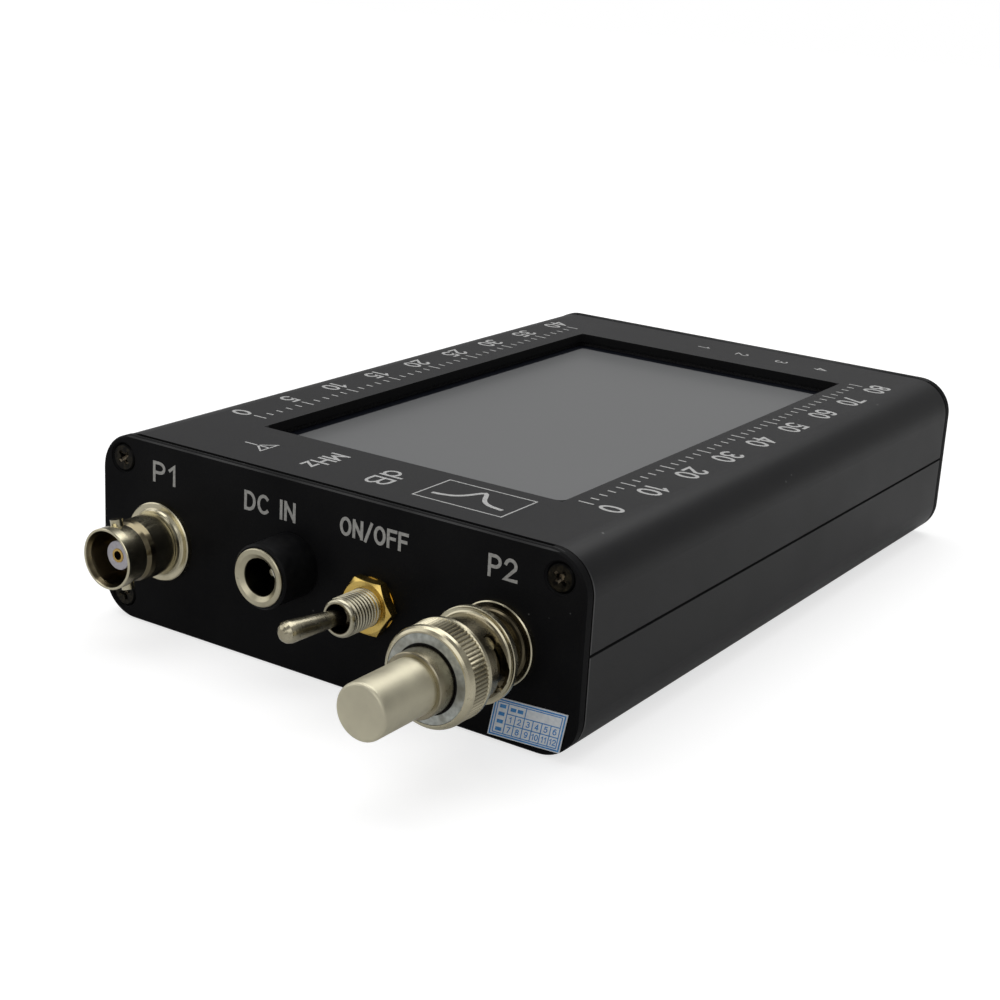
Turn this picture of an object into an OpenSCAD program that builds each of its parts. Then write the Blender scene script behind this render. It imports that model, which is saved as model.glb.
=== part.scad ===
// Handheld antenna analyzer. A split extruded case closed by two end plates holds a
// framed touch display over a main board and a battery. The front plate carries two
// bayonet coaxial ports, a charging jack and a toggle. A locked cap sits on the right port.
// Origin: centre of the case's underside. +X is to the right as the front plate is
// faced, +Y runs from the front plate to the rear plate, +Z is up. Millimetres.

/* [Case] */
// Width of the case
case_w = 90; // [88:1:100]
// Height of the end plates
case_h = 30.5; // [30:0.5:36]
// Length over both end plates
case_l = 135; // [132:1:160]
// Radius of the case's long edges
corner_r = 6.3; // [5.5:0.1:7.5]
// Wall of the extruded shells
wall = 1.6; // [1.2:0.1:1.8]
// Thickness of each end plate
plate_t = 2; // [1.5:0.1:2.2]
// Bevel round the outer edge of each end plate
plate_bevel = 0.3; // [0.1:0.1:0.6]
// Bevel round the inner edge of each end plate
plate_rear_bevel = 0.3; // [0.1:0.05:0.5]
// Depth of the relief along each plate's top inner edge
relief_d = 0.9; // [0.4:0.1:1.2]
// Part of the plate's thickness that the relief takes
relief_share = 0.55; // [0.3:0.05:0.55]
// How far the end plates stand above the top shell
shell_drop = 0.1; // [0.05:0.05:0.3]
// Height of the seam between the shells
seam_z = 15.7; // [15:0.1:17]
// Height of the tongue in the seam
tongue_h = 1.2; // [0.8:0.1:2]
// Depth of the groove that marks the seam outside
seam_groove = 0.25; // [0.1:0.05:0.4]

/* [End plate screws] */
// Distance from the case's side to a screw
screw_edge_x = 4.4; // [4:0.1:5]
// Distance from the plate's top or bottom to a screw
screw_edge_z = 3.9; // [3.7:0.1:4.5]
// Radius of the screw's shank
screw_r = 1.4; // [1:0.1:1.6]
// Radius of the countersunk head
screw_head_r = 2.5; // [2.1:0.1:2.8]
// Height of the countersunk head
screw_head_t = 1.2; // [0.8:0.1:1.4]
// Length of the screw
screw_l = 9; // [6:0.5:14]
// Outer radius of the screw port inside the shells
port_wall_r = 2.6; // [2.3:0.1:2.8]
// Length of a slot of the cross recess
recess_l = 2.8; // [2:0.1:3]
// Width of a slot of the cross recess
recess_w = 0.6; // [0.4:0.1:0.8]
// Depth of the cross recess
recess_t = 1; // [0.6:0.1:1.4]

/* [Window and display] */
// Distance from the glass's end to the window's end
window_inset_l = 2.9; // [2:0.1:4]
// Distance from the glass's side to the window's side
window_inset_w = 4.8; // [3.6:0.1:6]
// Corner radius of the window
window_r = 1.5; // [0.5:0.1:3]
// Sideways offset of the window from the case's middle
window_x = 0.5; // [-1:0.1:1]
// Lengthwise offset of the window from the case's middle
window_y = 0.95; // [-1:0.05:2]
// Thickness of the foam gasket behind the window
gasket_t = 0.9; // [0.5:0.1:1.2]
// Bare rim between the window and the gasket
gasket_rim = 0.7; // [0.3:0.1:1.5]
// Thickness of the touch glass
glass_t = 1.2; // [0.8:0.1:1.8]
// Rim of the display's metal frame beyond the touch glass
glass_inset = 0.4; // [0.2:0.1:1]
// Gap between an end plate and the display's metal frame
lcd_end_gap = 12.7; // [12:0.1:13.5]
// Gap between a side wall and the display's metal frame
lcd_side_gap = 9.8; // [9.6:0.1:10.4]
// Depth of the display's metal frame
lcd_t = 3; // [2.4:0.1:3.4]
// Sheet of the display's metal frame
frame_sheet = 0.4; // [0.3:0.1:0.6]
// Thickness of the light guide
guide_t = 1.5; // [1:0.1:1.8]
// Width of the flat ribbon
ribbon_w = 38; // [20:1:50]
// Thickness of the flat ribbon
ribbon_t = 0.25; // [0.15:0.05:0.4]

/* [Boards] */
// Thickness of both circuit boards
board_t = 1.6; // [1:0.1:1.8]
// Height of the main board's underside
main_board_z = 11.4; // [10.8:0.1:11.8]
// Gap between the front plate and the main board
board_front_gap = 21.5; // [21:0.5:23]
// Gap between the rear plate and the main board
board_rear_gap = 1.5; // [1:0.5:5]
// Depth of the rails that hold the main board
rail_d = 1.8; // [1.2:0.1:2.4]
// Thickness of the rails
rail_t = 1; // [0.8:0.1:1.4]
// Rim of the display board beyond the sides of the display's metal frame
display_board_rim_w = 4.4; // [4.2:0.1:5]
// Rim of the display board beyond the ends of the display's metal frame
display_board_rim_l = 4.25; // [3.5:0.05:5]
// Gap between the display's metal frame and the heads of the board screws
board_head_gap = 0.35; // [0.2:0.05:0.4]
// Distance from the display board's end to the board screws
board_screw_inset = 17; // [15:0.5:19]
// Radius of the board screws' shanks
board_screw_r = 0.95; // [0.7:0.05:1]
// Radius of the board screws' heads
board_head_r = 1.85; // [1.5:0.05:1.9]
// Height of the board screws' heads
board_head_t = 1.2; // [0.8:0.1:1.4]
// Length of a board screw in its standoff
board_screw_bite = 3; // [2:0.1:4]
// Width across the flats of a standoff
standoff_af = 4; // [3.4:0.1:4.4]

/* [Battery] */
// Length of the battery pouch
battery_l = 60; // [40:1:62]
// Width of the battery pouch
battery_w = 48; // [36:1:56]
// Thickness of the battery pouch
battery_t = 7; // [5:0.5:8]
// Thickness of the foam tape under the battery
tape_t = 0.6; // [0.4:0.1:1]
// Gap between the battery and the rear plate
battery_rear_gap = 6; // [4:0.5:10]

/* [Coaxial ports] */
// Height of both coaxial ports
port_z = 14.7; // [14.2:0.1:15.2]
// Distance from the case's left side to the left port
left_port_edge = 12.6; // [12:0.1:14]
// Distance from the case's right side to the right port
right_port_edge = 13.8; // [13:0.1:15]
// Angle of the left port's bayonet lugs
left_lug_turn = 103; // [0:1:180]
// Angle of the right port's bayonet lugs
right_lug_turn = 41; // [0:1:180]
// Distance from the front plate to a port's mouth
jack_l = 12; // [11.8:0.1:12.4]
// Radius of a port's flange
jack_flange_r = 6.35; // [6:0.05:6.6]
// Thickness of a port's flange
jack_flange_t = 1; // [0.8:0.1:1.4]
// Radius where the barrel's fillet meets the flange
jack_step_r = 5.5; // [5.2:0.1:5.8]
// Distance from the front plate to the front of the fillet
jack_step_z = 2.2; // [1.8:0.1:2.6]
// Radius of a port's barrel
jack_barrel_r = 4.9; // [4.7:0.02:4.92]
// Radius of the waist behind the mouth
jack_waist_r = 4.45; // [4.4:0.05:4.7]
// Radius of a port's mouth
jack_bore_r = 4.06; // [4.04:0.01:4.1]
// How much wider a port's mouth flares at its very front, on the radius
jack_flare = 0.4; // [0.2:0.05:0.4]
// Distance from the front plate to the floor of the mouth
jack_floor_z = 3.6; // [2.4:0.1:4]
// Radius of a port's threaded shank
jack_shank_r = 4.76; // [4.4:0.02:4.8]
// Length of the shank behind the front plate's face
jack_shank_l = 9.5; // [8:0.5:11]
// Radius of a bayonet lug
lug_r = 1; // [0.8:0.05:1]
// Distance from a port's axis to the end of a lug
lug_reach = 5.5; // [5.3:0.05:5.6]
// Distance from the front plate to the lugs
lug_z = 8.6; // [8.4:0.1:8.8]
// Radius of a port's insulator
jack_core_r = 2.3; // [2:0.1:2.6]
// Distance from the front plate to the insulator's nose
jack_core_z = 9.5; // [9:0.1:9.6]
// Radius of a port's centre contact
contact_r = 1.1; // [1:0.05:1.2]
// Radius of the hole in the centre contact
contact_hole_r = 0.72; // [0.7:0.01:0.8]
// Width across the flats of a port's nut
jack_nut_af = 12.7; // [12:0.1:13.2]
// Thickness of a port's nut
jack_nut_t = 2.4; // [2:0.1:3]

/* [Port cap] */
// Distance from the front plate to the coupling nut's mouth
nut_mouth_z = 5.4; // [5.2:0.1:5.6]
// Radius of the bore of the coupling nut
nut_bore_r = 5; // [5:0.01:5.06]
// Radius of the coupling nut's mouth rim
nut_rim_r = 7.1; // [6.9:0.05:7.4]
// Width of the coupling nut's mouth rim
nut_rim_t = 0.9; // [0.7:0.1:1.1]
// Radius of the coupling nut's waist
nut_waist_r = 6.1; // [6:0.05:6.2]
// Radius over the knurl
knurl_r = 7.3; // [7.1:0.05:7.5]
// Depth of the knurl
knurl_depth = 0.28; // [0.1:0.02:0.35]
// Number of teeth in the knurl
knurl_teeth = 74; // [30:2:80]
// Distance from the front plate to the front of the knurled ring
knurl_z = 11.9; // [11.8:0.1:12.2]
// Distance from the front plate to the coupling nut's back
nut_back_z = 17.05; // [16.8:0.05:17.6]
// Turn of the coupling nut from locked to unlocked, in degrees
nut_turn = 70; // [50:5:80]
// Travel of the cap as the coupling nut unlocks
nut_travel = 1.6; // [1.4:0.1:1.8]
// Radius of the cap's collar
collar_r = 4.7; // [4.5:0.05:4.9]
// Distance from the front plate to the collar's back
collar_z = 20.1; // [19.5:0.1:21]
// Radius of the cap's barrel
cap_r = 4.03; // [3.9:0.01:4.3]
// Distance from the front plate to the cap's end
cap_end_z = 31.1; // [30.8:0.1:34]
// Radius of the cap's sleeve
sleeve_r = 3.98; // [3.96:0.01:3.99]
// Wall of the cap's sleeve
sleeve_wall = 0.6; // [0.4:0.05:0.8]
// Radius of the cap's centre pin
pin_r = 0.66; // [0.5:0.01:0.68]

/* [Charging jack] */
// Sideways place of the charging jack
dc_x = -6; // [-7:0.1:-5]
// Gap between the charging jack's shank and the display board above it
dc_board_gap = 1; // [0.5:0.1:2]
// Distance from the front plate to the jack's mouth
dc_l = 7.8; // [6:0.1:9]
// Radius of the jack's black barrel
dc_barrel_r = 5; // [4.8:0.1:5.4]
// Outer radius of the jack's metal ring
dc_ring_r = 4.45; // [4.2:0.05:4.6]
// Thickness of the jack's metal ring
dc_ring_t = 1; // [0.6:0.1:1.4]
// Radius of the jack's hole
dc_bore_r = 2.85; // [2.75:0.01:2.9]
// Outer radius of the jack's metal sleeve
dc_sleeve_r = 3.35; // [3.2:0.05:3.4]
// Radius of the jack's shank
dc_shank_r = 4; // [3.9:0.1:4.2]
// Radius of the jack's centre pin
dc_pin_r = 1.05; // [0.8:0.05:1.25]
// Distance from the jack's mouth to its centre pin's tip
dc_pin_drop = 3.4; // [2:0.1:5]
// Length of the jack behind the front plate's face
dc_rear_l = 12; // [10:0.5:13]
// Angle of the jack's spring contact
leaf_turn = 25; // [0:1:60]

/* [Toggle] */
// Sideways place of the toggle
toggle_x = 9.4; // [9:0.1:10]
// Height of the toggle
toggle_z = 14.9; // [14.2:0.1:15.4]
// Radius of the toggle's threaded bushing
bushing_r = 2.95; // [2.9:0.05:3.1]
// Distance from the front plate to the bushing's mouth
bushing_l = 8.3; // [7.6:0.1:9]
// Radius of the bushing's mouth
bushing_mouth_r = 2.15; // [2.05:0.05:2.2]
// Radius of the bushing's bore behind the mouth
bushing_bore_r = 2.4; // [2.35:0.05:2.5]
// Pitch of the bushing's thread
thread_pitch = 0.65; // [0.5:0.05:1]
// Depth of the bushing's thread
thread_depth = 0.25; // [0.1:0.05:0.35]
// Width across the flats of the toggle's nut
toggle_nut_af = 8.1; // [7.6:0.1:8.6]
// Thickness of the toggle's nut
toggle_nut_t = 1.8; // [1.4:0.1:2.2]
// Thickness of the washer under the toggle's nut
toggle_washer_t = 0.4; // [0.3:0.1:0.6]
// Distance from the front plate to the lever's pivot
pivot_z = 5; // [4.8:0.1:5.4]
// Radius of the ball at the lever's pivot
ball_r = 2.3; // [2.2:0.02:2.32]
// Lean of the lever to either side, in degrees
lever_lean = 10; // [6:0.5:10]
// Length of the lever from its pivot to its tip
lever_l = 13.2; // [11:0.1:15]
// Radius of the lever at its root
lever_root_r = 1.2; // [0.9:0.05:1.3]
// Radius of the lever at its tip
lever_tip_r = 1.65; // [1.3:0.05:1.9]
// Length of the toggle's body
toggle_body_l = 13.2; // [12.6:0.1:14]
// Height of the toggle's body
toggle_body_h = 7.9; // [7.4:0.1:9]
// Depth of the toggle's body
toggle_body_d = 9.6; // [9:0.1:11]
// Distance from the lever's pivot to the plunger's tip
plunger_reach = 13; // [12.6:0.1:13.2]
// Distance between an outer tag and the middle tag
tag_pitch = 4.7; // [4.5:0.1:5]

/* [Seal sticker] */
// Width of the sticker
seal_w = 12; // [8:0.5:13]
// Height of the sticker
seal_h = 6; // [4:0.1:6]
// Thickness of the sticker
seal_t = 0.15; // [0.1:0.01:0.3]
// Tilt of the sticker, in degrees
seal_tilt = 2.7; // [0:0.1:4]
// Sideways lean of the sticker's short edges
seal_lean = 1.3; // [0:0.1:2]

/* [Hidden] */
$fn = 64;

// Clearances between pieces
fit_gap = 0.05;
hole_gap = 0.15;
loose_gap = 0.3;

half_w = case_w / 2;
front_y = -case_l / 2;
inner_y = front_y + plate_t;
shell_h = case_h - shell_drop;
shell_l = case_l - 2 * plate_t;
inner_w = case_w - 2 * wall;
ceiling_z = shell_h - wall;
left_port_x = left_port_edge - half_w;
right_port_x = half_w - right_port_edge;

// The display's frame fits between the walls, and the rest of the stack follows it
lcd_l = shell_l - 2 * lcd_end_gap;
lcd_w = inner_w - 2 * lcd_side_gap;
glass_l = lcd_l - 2 * glass_inset;
glass_w = lcd_w - 2 * glass_inset;
window_l = glass_l - 2 * window_inset_l;
window_w = glass_w - 2 * window_inset_w;
display_board_l = lcd_l + 2 * display_board_rim_l;
display_board_w = lcd_w + 2 * display_board_rim_w;
board_screw_dx = lcd_w + 2 * (board_head_r + board_head_gap);
board_screw_dy = display_board_l - 2 * board_screw_inset;

screw_places = [
  for (sx = [-1, 1], z = [screw_edge_z, case_h - screw_edge_z])
    [sx * (half_w - screw_edge_x), z]
];

// Heights from the window down to the main board
glass_z = ceiling_z - gasket_t - glass_t;
frame_z = glass_z - lcd_t;
display_board_z = frame_z - board_t;
main_top_z = main_board_z + board_t;
standoff_l = display_board_z - main_top_z;
dc_z = display_board_z - dc_board_gap - dc_shank_r;

// The main board slides in rails along the bottom shell
main_board_w = inner_w - 2 * hole_gap;
main_board_y0 = inner_y + board_front_gap;
main_board_y1 = -inner_y - board_rear_gap;
main_board_l = main_board_y1 - main_board_y0;

board_screw_places = [
  for (sx = [-1, 1], sy = [-1, 1])
    [window_x + sx * board_screw_dx / 2, window_y + sy * board_screw_dy / 2]
];

// Nut stack behind the front plate
jack_washer_t = 0.6;
jack_tag_t = 0.4;
jack_nut_top = -plate_t - jack_washer_t - jack_tag_t;

// Waist of a port, between the mouth and the barrel
waist_z0 = jack_l - 4.2;
waist_z1 = jack_l - 2;
waist_slope = 1.6;
mouth_bevel = 0.3;

// The toggle's body hangs behind the plate on its frame
toggle_frame_t = 0.8;
toggle_seat_z = -plate_t - toggle_washer_t;
toggle_case_z = toggle_seat_z - toggle_frame_t;
toggle_floor_z = toggle_case_z - toggle_body_d;
toggle_wall = 0.9;
rocker_rod_r = 0.45;
rocker_pivot_z = pivot_z - plunger_reach - rocker_rod_r - fit_gap;
rocker_t = 0.5;
rocker_w = 3;
tag_t = 0.6;
tag_w = 2;
tag_l = 4;

// Inside of the port cap
chamber_z = 12.7;
chamber_r = 6.4;
flange_z = chamber_z + 0.6;
flange_t = 0.8;
back_ring_t = 0.8;
core_front_z = jack_core_z + 0.5;

// Battery socket under the main board
socket_w = 8;
socket_l = 7;
socket_h = 6;
socket_y = main_board_y0 + 12;
battery_y1 = -inner_y - battery_rear_gap;
battery_y0 = battery_y1 - battery_l;

// Colours
case_black = [0.07, 0.07, 0.08];
screw_black = [0.13, 0.12, 0.12];
nickel = [0.72, 0.7, 0.65];
steel = [0.6, 0.6, 0.62];
brass = [0.8, 0.62, 0.25];
gold = [0.9, 0.72, 0.3];
zinc = [0.75, 0.77, 0.8];
ptfe = [0.93, 0.93, 0.92];
rubber_black = [0.1, 0.1, 0.1];
board_green = [0.1, 0.35, 0.2];
board_blue = [0.08, 0.16, 0.4];
chip_black = [0.15, 0.15, 0.16];

// ---------------------------------------------------------------- shared shapes

module rounded_rect(w, h, r) {
  square([w - 2 * r, h], center = true);
  square([w, h - 2 * r], center = true);
  for (sx = [-1, 1], sy = [-1, 1])
    translate([sx * (w / 2 - r), sy * (h / 2 - r)])
      circle(r = r);
}

// Places a piece on the front plate: its +Z points out of the plate, its +Y up.
module on_front(x, z) {
  translate([x, front_y, z])
    rotate([90, 0, 0])
      children();
}

// Places a piece on the rear plate: its +Z points out of the plate, its +Y up.
module on_rear(x, z) {
  translate([x, -front_y, z])
    rotate([90, 0, 180])
      children();
}

module ring(r_out, r_in, z0, z1) {
  translate([0, 0, z0])
    difference() {
      cylinder(r = r_out, h = z1 - z0);
      translate([0, 0, -1])
        cylinder(r = r_in, h = z1 - z0 + 2);
    }
}

// A box centred on [x, y], from z0 up to z1.
module slab(x, y, w, l, z0, z1) {
  translate([x - w / 2, y - l / 2, z0])
    cube([w, l, z1 - z0]);
}

// A round wire along a path, with flat ends square to it.
function unit(v) = v / norm(v);
function heading(path, i) =
  unit(path[min(i + 1, len(path) - 1)] - path[max(i - 1, 0)]);

module wire(path, r, sides = 8) {
  rings = [
    for (i = [0 : len(path) - 1])
      let (t = heading(path, i), a = unit(cross(t, [0.1, 0.05, 1])), b = cross(t, a))
        for (k = [0 : sides - 1])
          path[i] + r * (a * cos(360 * k / sides) + b * sin(360 * k / sides))
  ];
  last = (len(path) - 1) * sides;
  walls = [
    for (i = [0 : len(path) - 2], k = [0 : sides - 1])
      let (m = (k + 1) % sides, p = i * sides, q = p + sides)
        each [[p + k, q + m, p + m], [p + k, q + k, q + m]]
  ];
  ends = [
    [for (k = [0 : sides - 1]) k],
    [for (k = [sides - 1 : -1 : 0]) last + k]
  ];
  polyhedron(points = rings, faces = concat(walls, ends), convexity = 6);
}

// An S-shaped route from a back to b, straight along Y at both ends.
function ease(t) = t * t * (3 - 2 * t);
function s_curve(a, b, n) = [
  for (i = [0 : n])
    let (t = i / n)
      [a.x + (b.x - a.x) * ease(t), a.y + (b.y - a.y) * t, a.z + (b.z - a.z) * ease(t)]
];
function s_route(a, b, n = 8) =
  concat([a], s_curve(a + [0, 0.4, 0], b - [0, 0.4, 0], n), [b]);

// ---------------------------------------------------------------- case

module shell_profile() {
  difference() {
    union() {
      translate([0, shell_h / 2])
        difference() {
          rounded_rect(case_w, shell_h, corner_r);
          rounded_rect(inner_w, shell_h - 2 * wall, corner_r - wall);
        }
      for (p = screw_places)
        translate(p)
          circle(r = port_wall_r);
    }
    for (p = screw_places)
      translate(p)
        circle(r = screw_r + fit_gap);
    for (sx = [-1, 1])
      translate([sx * half_w, seam_z])
        rotate(45)
          square(seam_groove * sqrt(2), center = true);
  }
}

module shell_extrusion() {
  rotate([90, 0, 0])
    linear_extrude(shell_l, center = true)
      children();
}

// Strip of the side wall that the tongue takes, widened and raised by a gap.
module tongue_strip(z0, gap) {
  for (sx = [-1, 1])
    translate([sx * (half_w - wall * 3 / 4) - wall / 4 - gap / 2, z0])
      square([wall / 2 + gap, seam_z + tongue_h + gap - z0]);
}

module top_shell() {
  color(case_black)
    difference() {
      shell_extrusion()
        difference() {
          shell_profile();
          translate([-case_w, -case_h])
            square([2 * case_w, case_h + seam_z]);
          tongue_strip(seam_z - 1, 2 * fit_gap);
        }
      translate([window_x, window_y, ceiling_z - 1])
        linear_extrude(wall + 2)
          rounded_rect(window_w, window_l, window_r);
    }
}

module bottom_shell() {
  rail_gap = fit_gap;
  color(case_black)
    shell_extrusion() {
      difference() {
        shell_profile();
        translate([-case_w, seam_z])
          square([2 * case_w, case_h]);
      }
      tongue_strip(seam_z - 1, 0);
      for (sx = [-1, 1], z = [main_board_z - rail_gap - rail_t, main_top_z + rail_gap])
        translate([sx * (inner_w / 2 - rail_d / 2 + wall / 4) - rail_d / 2 - wall / 4, z])
          square([rail_d + wall / 2, rail_t]);
    }
}

// A plate from z = -plate_t to z = 0, bevelled round both faces.
module bevelled_plate() {
  for (sx = [-1, 1], sy = [-1, 1])
    translate([sx * (case_w / 2 - corner_r), sy * (case_h / 2 - corner_r), 0])
      rotate_extrude()
        polygon(concat([[0, 0], [0, -plate_t]], plate_edge(corner_r)));
  rotate([90, 0, 0])
    linear_extrude(case_h - 2 * corner_r, center = true)
      plate_section(case_w);
  rotate([90, 0, 90])
    linear_extrude(case_w - 2 * corner_r, center = true)
      plate_section(case_h);
}

// The edge of the plate at a distance x, from the rear face to the outer face.
function plate_edge(x) = [
  [x - plate_rear_bevel, -plate_t], [x, -plate_t + plate_rear_bevel],
  [x, -plate_bevel], [x - plate_bevel, 0]
];

module plate_section(w) {
  mirrored = [for (i = [3 : -1 : 0]) [-plate_edge(w / 2)[i].x, plate_edge(w / 2)[i].y]];
  polygon(concat(plate_edge(w / 2), mirrored));
}

// The relief that leaves a groove between each plate and the top shell's end.
module top_relief() {
  start = -plate_t * (1 - relief_share);
  translate([0, case_h / 2, 0])
    rotate([90, 0, 90])
      linear_extrude(case_w - 2 * corner_r, center = true)
        polygon([
          [0, start], [-relief_d, -plate_t], [-relief_d, -plate_t - 1],
          [1, -plate_t - 1], [1, start]
        ]);
}

module through_hole(r) {
  translate([0, 0, -plate_t - 1])
    cylinder(r = r, h = plate_t + 2);
}

module countersink() {
  through_hole(screw_r + hole_gap);
  translate([0, 0, -screw_head_t - fit_gap])
    cylinder(r1 = screw_r + fit_gap, r2 = screw_head_r + fit_gap, h = screw_head_t);
  translate([0, 0, -2 * fit_gap])
    cylinder(r = screw_head_r + fit_gap, h = 1);
}

module front_plate() {
  color(case_black)
    difference() {
      on_front(0, case_h / 2)
        bevelled_plate();
      on_front(0, case_h / 2)
        top_relief();
      for (x = [left_port_x, right_port_x])
        on_front(x, port_z)
          through_hole(jack_shank_r + hole_gap);
      on_front(dc_x, dc_z)
        through_hole(dc_shank_r + hole_gap);
      on_front(toggle_x, toggle_z)
        through_hole(bushing_r + hole_gap);
      for (p = screw_places)
        on_front(p.x, p.y)
          countersink();
    }
}

module rear_plate() {
  color(case_black)
    difference() {
      on_rear(0, case_h / 2)
        bevelled_plate();
      on_rear(0, case_h / 2)
        top_relief();
      for (p = screw_places)
        on_rear(p.x, p.y)
          countersink();
    }
}

module cross_recess(l, w, t) {
  for (a = [0, 90])
    rotate(a)
      translate([-l / 2, -w / 2, -t])
        cube([l, w, t + 1]);
}

module plate_screw() {
  top = -fit_gap;
  difference() {
    rotate_extrude()
      polygon([
        [0, -screw_l], [screw_r - 0.4, -screw_l], [screw_r, -screw_l + 0.6],
        [screw_r, -screw_head_t], [screw_head_r, top], [0, top]
      ]);
    cross_recess(recess_l, recess_w, recess_t);
  }
}

module plate_screws() {
  color(screw_black)
    for (p = screw_places) {
      on_front(p.x, p.y)
        plate_screw();
      on_rear(p.x, p.y)
        plate_screw();
    }
}

// The sticker lies on the front plate over the lower right screw.
module seal_sticker() {
  color("white")
    on_front(half_w - 2 - seal_w / 2, seal_h / 2 + 1)
      rotate(seal_tilt)
        linear_extrude(seal_t)
          polygon([
            [(-seal_w - seal_lean) / 2, -seal_h / 2], [(seal_w - seal_lean) / 2, -seal_h / 2],
            [(seal_w + seal_lean) / 2, seal_h / 2], [(-seal_w + seal_lean) / 2, seal_h / 2]
          ]);
}

// ---------------------------------------------------------------- display

module window_gasket() {
  color(rubber_black)
    translate([window_x, window_y, glass_z + glass_t])
      difference() {
        linear_extrude(gasket_t)
          square([glass_w, glass_l], center = true);
        translate([0, 0, -1])
          linear_extrude(gasket_t + 2)
            square([window_w + 2 * gasket_rim, window_l + 2 * gasket_rim], center = true);
      }
}

module touch_glass() {
  color([0.45, 0.45, 0.46])
    slab(window_x, window_y, glass_w, glass_l, glass_z, glass_z + glass_t);
}

module display_frame() {
  color(steel)
    difference() {
      slab(window_x, window_y, lcd_w, lcd_l, frame_z, glass_z);
      slab(window_x, window_y, lcd_w - 2 * frame_sheet, lcd_l - 2 * frame_sheet,
        frame_z + frame_sheet, glass_z + 1);
      slab(window_x, window_y + lcd_l / 2, ribbon_w + 2 * loose_gap, 4 * frame_sheet,
        glass_z - 1.4, glass_z - 0.6);
    }
}

module in_frame(z0, z1) {
  gap = 2 * (frame_sheet + fit_gap);
  slab(window_x, window_y, lcd_w - gap, lcd_l - gap, z0, z1);
}

module light_guide() {
  color("white")
    in_frame(frame_z + frame_sheet, frame_z + frame_sheet + guide_t);
}

module lcd_panel() {
  color([0.3, 0.31, 0.33])
    in_frame(frame_z + frame_sheet + guide_t, glass_z);
}

// The ribbon leaves the frame's rear end, turns round the display board's
// edge and lies under the board.
module display_ribbon() {
  z1 = glass_z - 0.8;
  z0 = display_board_z - ribbon_t;
  bend_r = (z1 - z0) / 2;
  bend_y = window_y + display_board_l / 2 + 0.4;
  start_y = window_y + lcd_l / 2 - frame_sheet - fit_gap;
  end_y = bend_y - 8;
  color([0.75, 0.5, 0.2])
    translate([window_x - ribbon_w / 2, 0, 0])
      rotate([90, 0, 90])
        linear_extrude(ribbon_w) {
          translate([start_y, z1 - ribbon_t])
            square([bend_y - start_y, ribbon_t]);
          translate([end_y, z0])
            square([bend_y - end_y, ribbon_t]);
          translate([bend_y, (z0 + z1) / 2])
            intersection() {
              difference() {
                circle(r = bend_r);
                circle(r = bend_r - ribbon_t);
              }
              translate([0, -bend_r])
                square([2 * bend_r, 2 * bend_r]);
            }
        }
}

module display_board() {
  color(board_blue)
    difference() {
      slab(window_x, window_y, display_board_w, display_board_l, display_board_z, frame_z);
      for (p = board_screw_places)
        translate([p.x, p.y, display_board_z - 1])
          cylinder(r = board_screw_r + fit_gap, h = board_t + 2);
    }
}

// A two-row pin strip under the display board, in a socket on the main board.
header_pins = 20;
header_pitch = 2.54;
header_w = header_pins * header_pitch;
header_l = 2 * header_pitch;
header_base_t = 2.5;
header_inset = 13;
header_y = window_y + display_board_l / 2 - header_inset;
header_pin_w = 0.6;
header_pin_l = 3;
header_pin_gap = 0.4;

module display_header() {
  base_z = display_board_z - header_base_t;
  color(gold) {
    slab(0, header_y, header_w, header_l, base_z, display_board_z);
    for (i = [0 : header_pins - 1], sy = [-1, 1])
      slab((i - (header_pins - 1) / 2) * header_pitch, header_y + sy * header_pitch / 2,
        header_pin_w, header_pin_w, base_z - header_pin_l, base_z + header_base_t / 2);
  }
}

module header_socket() {
  color(chip_black)
    difference() {
      slab(0, header_y, header_w, header_l, main_top_z,
        display_board_z - header_base_t - fit_gap);
      for (sy = [-1, 1])
        slab(0, header_y + sy * header_pitch / 2, header_w - 1.6,
          header_pin_w + loose_gap,
          display_board_z - header_base_t - header_pin_l - header_pin_gap, display_board_z);
    }
}

module standoffs() {
  color(brass)
    for (p = board_screw_places)
      translate([p.x, p.y, main_top_z])
        difference() {
          cylinder(r = standoff_af / sqrt(3), h = standoff_l, $fn = 6);
          translate([0, 0, -1])
            cylinder(r = board_screw_r + fit_gap, h = standoff_l + 2);
        }
}

// A pan-head screw with its head's underside at z = 0.
module board_screw() {
  shank_l = board_t + board_screw_bite;
  difference() {
    union() {
      cylinder(r = board_head_r, h = board_head_t);
      translate([0, 0, -shank_l])
        cylinder(r = board_screw_r, h = shank_l + 0.5);
    }
    translate([0, 0, board_head_t])
      cross_recess(board_head_r * 1.3, 0.5, 0.7);
  }
}

module board_screws() {
  color(steel)
    for (p = board_screw_places) {
      translate([p.x, p.y, frame_z])
        board_screw();
      translate([p.x, p.y, main_board_z])
        rotate([180, 0, 0])
          board_screw();
    }
}

// ---------------------------------------------------------------- main board

module main_board() {
  color(board_green)
    difference() {
      slab(0, (main_board_y0 + main_board_y1) / 2, main_board_w, main_board_l,
        main_board_z, main_top_z);
      for (p = board_screw_places)
        translate([p.x, p.y, main_board_z - 1])
          cylinder(r = board_screw_r + fit_gap, h = board_t + 2);
    }
}

// Things on the main board keep their places from its front edge.
shield_x = -16;
shield_y = main_board_y0 + 28;
shield_w = 34;
shield_l = 38;
shield_h = 4;
shield_sheet = 0.3;

module rf_shield() {
  color(steel)
    difference() {
      slab(shield_x, shield_y, shield_w, shield_l, main_top_z, main_top_z + shield_h);
      slab(shield_x, shield_y, shield_w - 2 * shield_sheet, shield_l - 2 * shield_sheet,
        main_top_z - 1, main_top_z + shield_h - shield_sheet);
    }
}

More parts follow.
